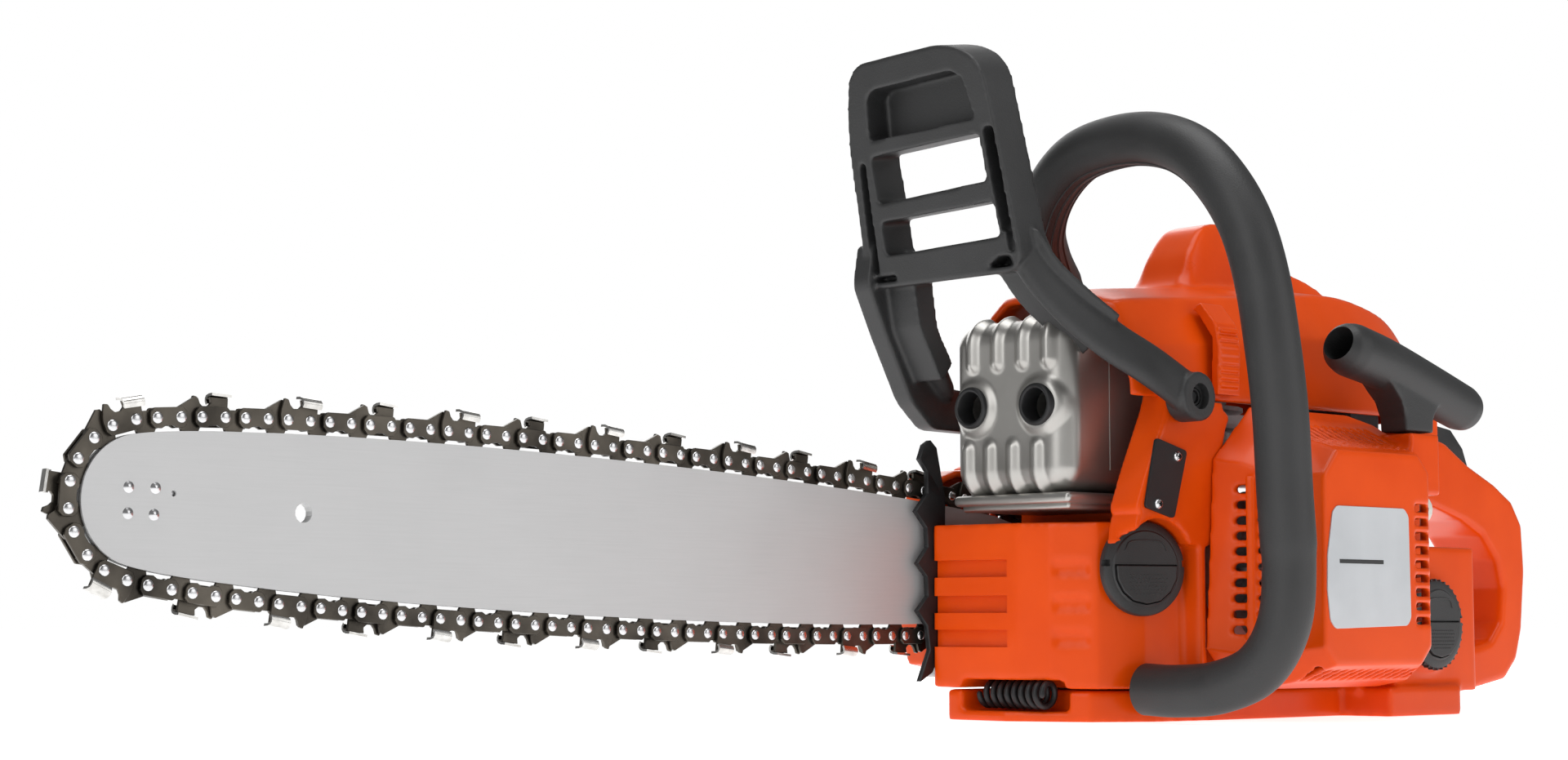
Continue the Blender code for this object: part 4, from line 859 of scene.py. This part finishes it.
# %% Springs between handle and engine
def coil(name, start, end, radius, wire, turns):
    """A round wire wound between two points."""
    start, end = Vector(start), Vector(end)
    turn = (end - start).to_track_quat("Z", "Y").to_matrix()
    steps = turns * 20
    line = []
    for k in range(steps + 1):
        a = k / 20 * 2 * math.pi
        around = Vector((radius * math.cos(a), radius * math.sin(a), 0))
        line.append(start.lerp(end, k / steps) + turn @ around)
    return name, swept(line, wire, sides=10, round_ends=2)


piece(coil("front_spring", (-92, -12, 10.6), (-92, 22, 10.6), 4.7, 1.25, 9), BLACK,
      stands_for=("spring_front",), sharp=60)

# %% [markdown]
# ## Filler caps
# Each tank closes with a quarter-turn cap. A D-shaped tab lies flat in its lower half and flips
# up to turn it. The cap is spun from a profile, the tab is a half disc with a wider top edge, and
# its pad of small raised dots is set out on a grid.

# %% Caps and tabs
def filler(prefix, node, tab_node, seat, out, body, tab_body, ribs):
    """A cap, its flip tab and the grip pattern."""
    seat, out = Vector(seat), Vector(out).normalized()
    up = Vector((0, 0, 1))
    side = up.cross(out)
    turn = Matrix((side, up, out)).transposed().to_4x4()
    place = Matrix.Translation(seat * MM) @ turn
    cap = as_object(prefix + "_body", turned([(0, 4.7), (14.6, 4.7), (15.2, 4.2), (17.2, 4.1), (18.4, 3.5),
                                              (18.8, 2.6), (18.8, 0.35), (12.1, 0.35), (12.1, -6), (0, -6)],
                                             seat, out, steps=72))
    pocket = slab([(-14.4, 1.6), (-14.0, -4.4), (-11.0, -9.6), (-6.2, -13.2), (0, -14.4), (6.2, -13.2),
                   (11.0, -9.6), (14.0, -4.4), (14.4, 1.6)], "XY", 2.2, 9, turn=place)
    notches = [slab([(s * 16.2, 3.4), (s * 20, 3.4), (s * 20, 0.8), (s * 16.2, 0.8)], "XY", 1.5, 9,
                    turn=place) for s in (-1, 1)]
    combine(cap, [pocket] + notches, "DIFFERENCE")
    piece(cap, DARK, body=body, stands_for=(node,), edge=0.35, steps=2)
    tab = slab([(-13.9, 1.1), (-13.5, -4.2), (-10.6, -9.2), (-6.0, -12.7), (0, -13.9), (6.0, -12.7),
                (10.6, -9.2), (13.5, -4.2), (13.9, 1.1)], "XY", 2.5, 5.7, turn=place)
    tab = piece((prefix + "_tab_plate", tab), DARK, body=tab_body, stands_for=(tab_node,), edge=0.5, steps=3)
    dots = []
    for row in range(6):
        for column in range(11):
            x, y = -8 + column * 1.6 + 0.8 * (row % 2), -2.6 - row * 1.5
            if math.hypot(x, y) < 11.8:
                bm = bmesh.new()
                bmesh.ops.create_cone(bm, cap_ends=True, segments=8, radius1=0.42 * MM, radius2=0.16 * MM,
                                      depth=0.4 * MM, matrix=place @ Matrix.Translation(
                                          Vector((x, y, 5.85)) * MM))
                dots.append(bm)
    piece((prefix + "_dots", many(dots)), DARK, body=tab_body, sharp=60)
    ridge = [turn.to_3x3() @ Vector((x, y, 4.75)) + seat
             for x, y in ((-9.5, 7.2), (-6.5, 10.8), (6.5, 10.8), (9.5, 7.2))]
    piece((prefix + "_ridge", swept(curve_through(ridge, 4), 0.32, sides=8, round_ends=1)), DARK, body=body)
    if ribs:
        teeth = []
        for k in range(36):
            a = k / 36 * 2 * math.pi
            p, q = (turn.to_3x3() @ Vector((18.9 * math.cos(a), 18.9 * math.sin(a), h)) + seat
                    for h in (0.8, 3.2))
            teeth.append(drum(p, q, 0.55, 8))
        piece((prefix + "_rim_ribs", many(teeth)), DARK, body=body, sharp=60)


filler("oil_filler", "oil_cap", "oil_cap_tab", (-68, -38.6, 60.5), (-0.30902, -0.95106, 0),
       "oil_filler_cap", "oil_filler_tab", False)
filler("fuel_filler", "fuel_cap", "fuel_cap_tab", (90, -66.4, 38.5), (0, -1, 0),
       "fuel_filler_cap", "fuel_filler_tab", True)

# %% [markdown]
# ## Starter cover, badge and data plate
# The starter cover is a thin moulded shell over the flywheel fan. Rows of slots let the air in:
# a column at the rear, a slanted grid above and a row below. All are cut into the working shell
# before it is remeshed. The forward slope has ten more slots with a bar down their middle; of these,
# only the bar is made. The badge and the data plate are thin plates with rounded corners, and both
# are left blank.

# %% Starter cover
slots = [block(31.5, 42, -103, -94, z - 1.5, z + 1.5) for z in (40 + 5.7 * k for k in range(9))]
slots += [block(44, 74, -94, -77, z - 1.5, z + 1.5) for z in (38 + 6.1 * k for k in range(9))]
for k in range(13):
    x = -19 + 4.8 * k
    slots.append(slab([(x + 5, -93), (x + 7.8, -93), (x + 1.8, -70), (x - 1, -70)], "XY", 99, 132))
for k in range(15):
    x = -26 + 5.2 * k
    slots.append(slab([(x, -94), (x + 2.8, -94), (x + 4.8, -82), (x + 2, -82)], "XY", 5, 24))
recesses = [drum((-62, -74, 36.2), (-44, -63.5, 36.2), 4.2, 28),
            drum((-50, -75, 112.6), (-31, -64, 112.6), 4.2, 28)]
bars = [slab([(-41.4, -70.0), (-40.2, -73.4), (-36.4, -73.4), (-37.6, -70.0)], "XY", 33, 97)]
moulded(copy_of("starter_cover", "starter_housing"), cut=slots + recesses, add=bars, voxel=0.85, rounds=5,
        stands_for=("starter_cover",))
face = [(-27.5, 40), (-29, 52), (-28.5, 66), (-25, 82.5), (-22, 85), (23, 85), (26, 82), (26.5, 41),
        (24, 38), (-24, 36.8)]
piece(("badge", slab(face, "XZ", -100.5, -99.8, corner=1.2)), BADGE, edge=0.15)
piece(("badge_line", slab([(-21, 62.4), (8, 62.4), (8, 64), (-21, 64)], "XZ", -100.65, -100.4)), DARK)
plate = [(-76, 111.5), (-57, 107), (-65.5, 80), (-83, 84)]
piece(("data_plate_blank", slab(plate, "XZ", -54.5, -53.2, corner=1.6)), BLACK, stands_for=("data_plate",),
      edge=0.2)
for k, (x, z) in enumerate(((-63.5, 104.5), (-75.5, 85.5))):
    screw((x, -54.6, z), (0, -1, 0), 2.1, "plate_screw_%d" % k)

# %% [markdown]
# ## Top cover and latches
# The top cover is one shell over the cylinder and the air filter, with a raised rounded hump. Its
# cross-sections are carried from front to rear on smooth lines. The hollow is a second skin inside
# the first, and the remesh softens every ridge. The latches are ribbed clips on its shoulders.

# %% Top cover
def cover_ring(x, left, right, high, crown, low=128.6):
    """The cover's section at one x."""
    return [Vector((x, y, z)) for y, z in (
        (left, low), (left + 1, high - 26), (left + 12, high - 6), (crown[0], high),
        (crown[0] + 6, crown[2]), (crown[1] - 6, crown[2]), (crown[1], high), (right - 10, high - 6),
        (right - 1, high - 26), (right, low))]


def skin(rows, per, low=128.6):
    """A loft whose edges run from section to section on smooth curves."""
    sections = [cover_ring(*row, low=low) for row in rows]
    lines = [curve_through([s[j] for s in sections], per) for j in range(10)]
    return lofted([[line[k] for line in lines] for k in range(len(lines[0]))])


OUTER = [(-80, -42, 41.5, 170, (-12, 24, 170.5)), (-72, -47, 41.5, 174, (-14, 24, 174.5)),
         (-20, -49, 41.5, 179, (-14, 25, 179.5)), (2, -49, 41.5, 181, (-8, 27, 184)),
         (12, -49, 41.5, 183, (-7, 28, 199)), (24, -49, 41.5, 184, (-6, 28, 211)),
         (43, -49, 41.5, 185, (-4, 28, 212)), (56, -49, 41.5, 186, (-3, 28, 196)),
         (78, -49, 41.5, 185, (-3, 28, 197)), (104, -48, 39, 179, (-6, 25, 190)),
         (126, -44, 35, 166, (-10, 22, 173))]
# The hump is left solid: under it the hollow stays flat, so no steep wall gets thin.
INNER = [[x, left + 2.8, right - 2.8, high - 3.6, (c0 + 2, c1 - 3, min(c2 - 4, high - 2.6))]
         for x, left, right, high, (c0, c1, c2) in OUTER]
INNER[0][0] -= 10
INNER[-1][0] -= 2.6
moulded(as_object("engine_cover", skin(OUTER, 6)), cut=[skin(INNER, 6, low=120)], voxel=1.25, rounds=7,
        stands_for=("top_cover",))

# %% Latches
for name, node, x0, x1, y0, y1, z0, body in (
        ("left_clip", "latch_left", -36, -22, -54.6, -51.6, 134, "cover_latch_left"),
        ("right_clip", "latch_right", 24, 38, 47.2, 50.0, 134, "cover_latch_right"),
        ("rear_clip", "latch_rear", 104, 118, -54.3, -52.2, 108, "cover_latch_rear")):
    rows = 4 if node == "latch_rear" else 8
    ribs = [block(x0 + 1.2, x1 - 1.2, y0, y1, z0 + 3.2 * k, z0 + 1.6 + 3.2 * k) for k in range(rows)]
    moulded(copy_of(node, name), add=ribs, voxel=0.5, rounds=4, body=body, stands_for=(node,))

# %% [markdown]
# ## Pull grip
# The starter's grip is a fat round bar with a neck that flows into it, and its front end is hollow.
# The bar is swept, the neck is lofted into it, and the remesh joins the two with a soft fillet.

# %% Pull grip
bar_line = curve_through([(17, -80, 150.5), (40, -80, 146), (70, -80, 138), (95, -80, 131)], 8)
taper = [1.12 - 0.12 * k / (len(bar_line) - 1) for k in range(len(bar_line))]
grip = as_object("pull_grip", swept(bar_line, 10.0, sides=36, facing=(0, 1, 0), round_ends=3,
                                    sizes=taper))
neck = lofted([[(56 + x, -80 + y, z) for x, y in ((-k, -w), (k, -w), (k, w), (-k, w))]
               for k, w, z in ((9.5, 6.6, 118.2), (10, 6.8, 124), (13.5, 7.2, 131), (20, 7.6, 137),
                               (27, 7.0, 142))])
moulded(grip, add=[neck], bore=[drum((0, -80, 155.2), (30, -80, 147.3), 7.2, 36)], voxel=0.75, rounds=9,
        finish=DARK, body="starter_pull", stands_for=("starter_handle",))

# %% [markdown]
# ## Tank, rear handle, clutch cover and controls
# The fuel tank, the lower frame, the rear handle and the clutch cover are moulded like the rest,
# so the working shapes are remeshed and smoothed. The controls are small dark mouldings, and soft
# bevels are enough for them.

# %% Tank, rear handle and clutch cover
moulded(copy_of("tank_unit", "tank_and_frame"), voxel=1.15, rounds=4, stands_for=("tank_unit",))
moulded(copy_of("rear_handle", "rear_grip"), voxel=0.95, rounds=10, stands_for=("rear_handle",))
vents = [slab([(-30 + 9 * k, 62), (-26 + 9 * k, 62), (-22 + 9 * k, 96), (-26 + 9 * k, 96)], "XZ", 80, 92)
         for k in range(5)]
moulded(copy_of("clutch_cover", "drive_cover"), cut=vents, voxel=1.05, rounds=5, stands_for=("clutch_cover",))

# %% Controls
for node, name, finish, body, soft in (
        ("throttle_trigger", "trigger_lever", DARK, "trigger", 1.2),
        ("throttle_lockout", "lockout_lever", DARK, "lockout", 1.2),
        ("stop_switch", "switch_rocker", DARK, "switch", 0.6),
        ("choke_knob", "choke_button", DARK, "choke", 0.6)):
    piece(copy_of(node, name), finish, body=body, stands_for=(node,), edge=soft, steps=3, sharp=30)

# %% [markdown]
# ## Last details
# Every working part that still shows gets its finish by assigning to its material slot.

# %% Working parts that keep their own mesh
KEPT = {
    ORANGE: "crankcase_left crankcase_right top_cover starter_cover tank_unit rear_handle clutch_cover "
            "latch_left latch_right latch_rear",
    DARK: "front_handle hand_guard oil_cap oil_cap_tab fuel_cap fuel_cap_tab throttle_trigger "
          "throttle_lockout stop_switch choke_knob starter_handle air_filter ignition_coil data_plate",
    PRESSED: "muffler_front muffler_rear",
    BARSTEEL: "bar",
    OILED: "chain_drive_links chain_left_straps chain_right_straps",
    BLACK: "bumper spring_front brake_band",
    ALLOY: "cylinder carburettor flywheel piston connecting_rod oil_pump clutch_shoes chain_catcher",
    PLATED: "crankshaft wrist_pin bearing_left bearing_right clutch_drum nose_sprocket bar_stud_front "
            "bar_stud_rear bar_nut_front bar_nut_rear guard_screw_left chain_tensioner recoil_spring "
            "throttle_butterfly spark_plug",
    NYLON: "starter_pulley starter_rope purge_bulb",
    RUBBER: "intake_boot",
}
for finish, names in KEPT.items():
    for name in names.split():
        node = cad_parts[name]
        node.data.materials.clear()
        node.data.materials.append(finish)
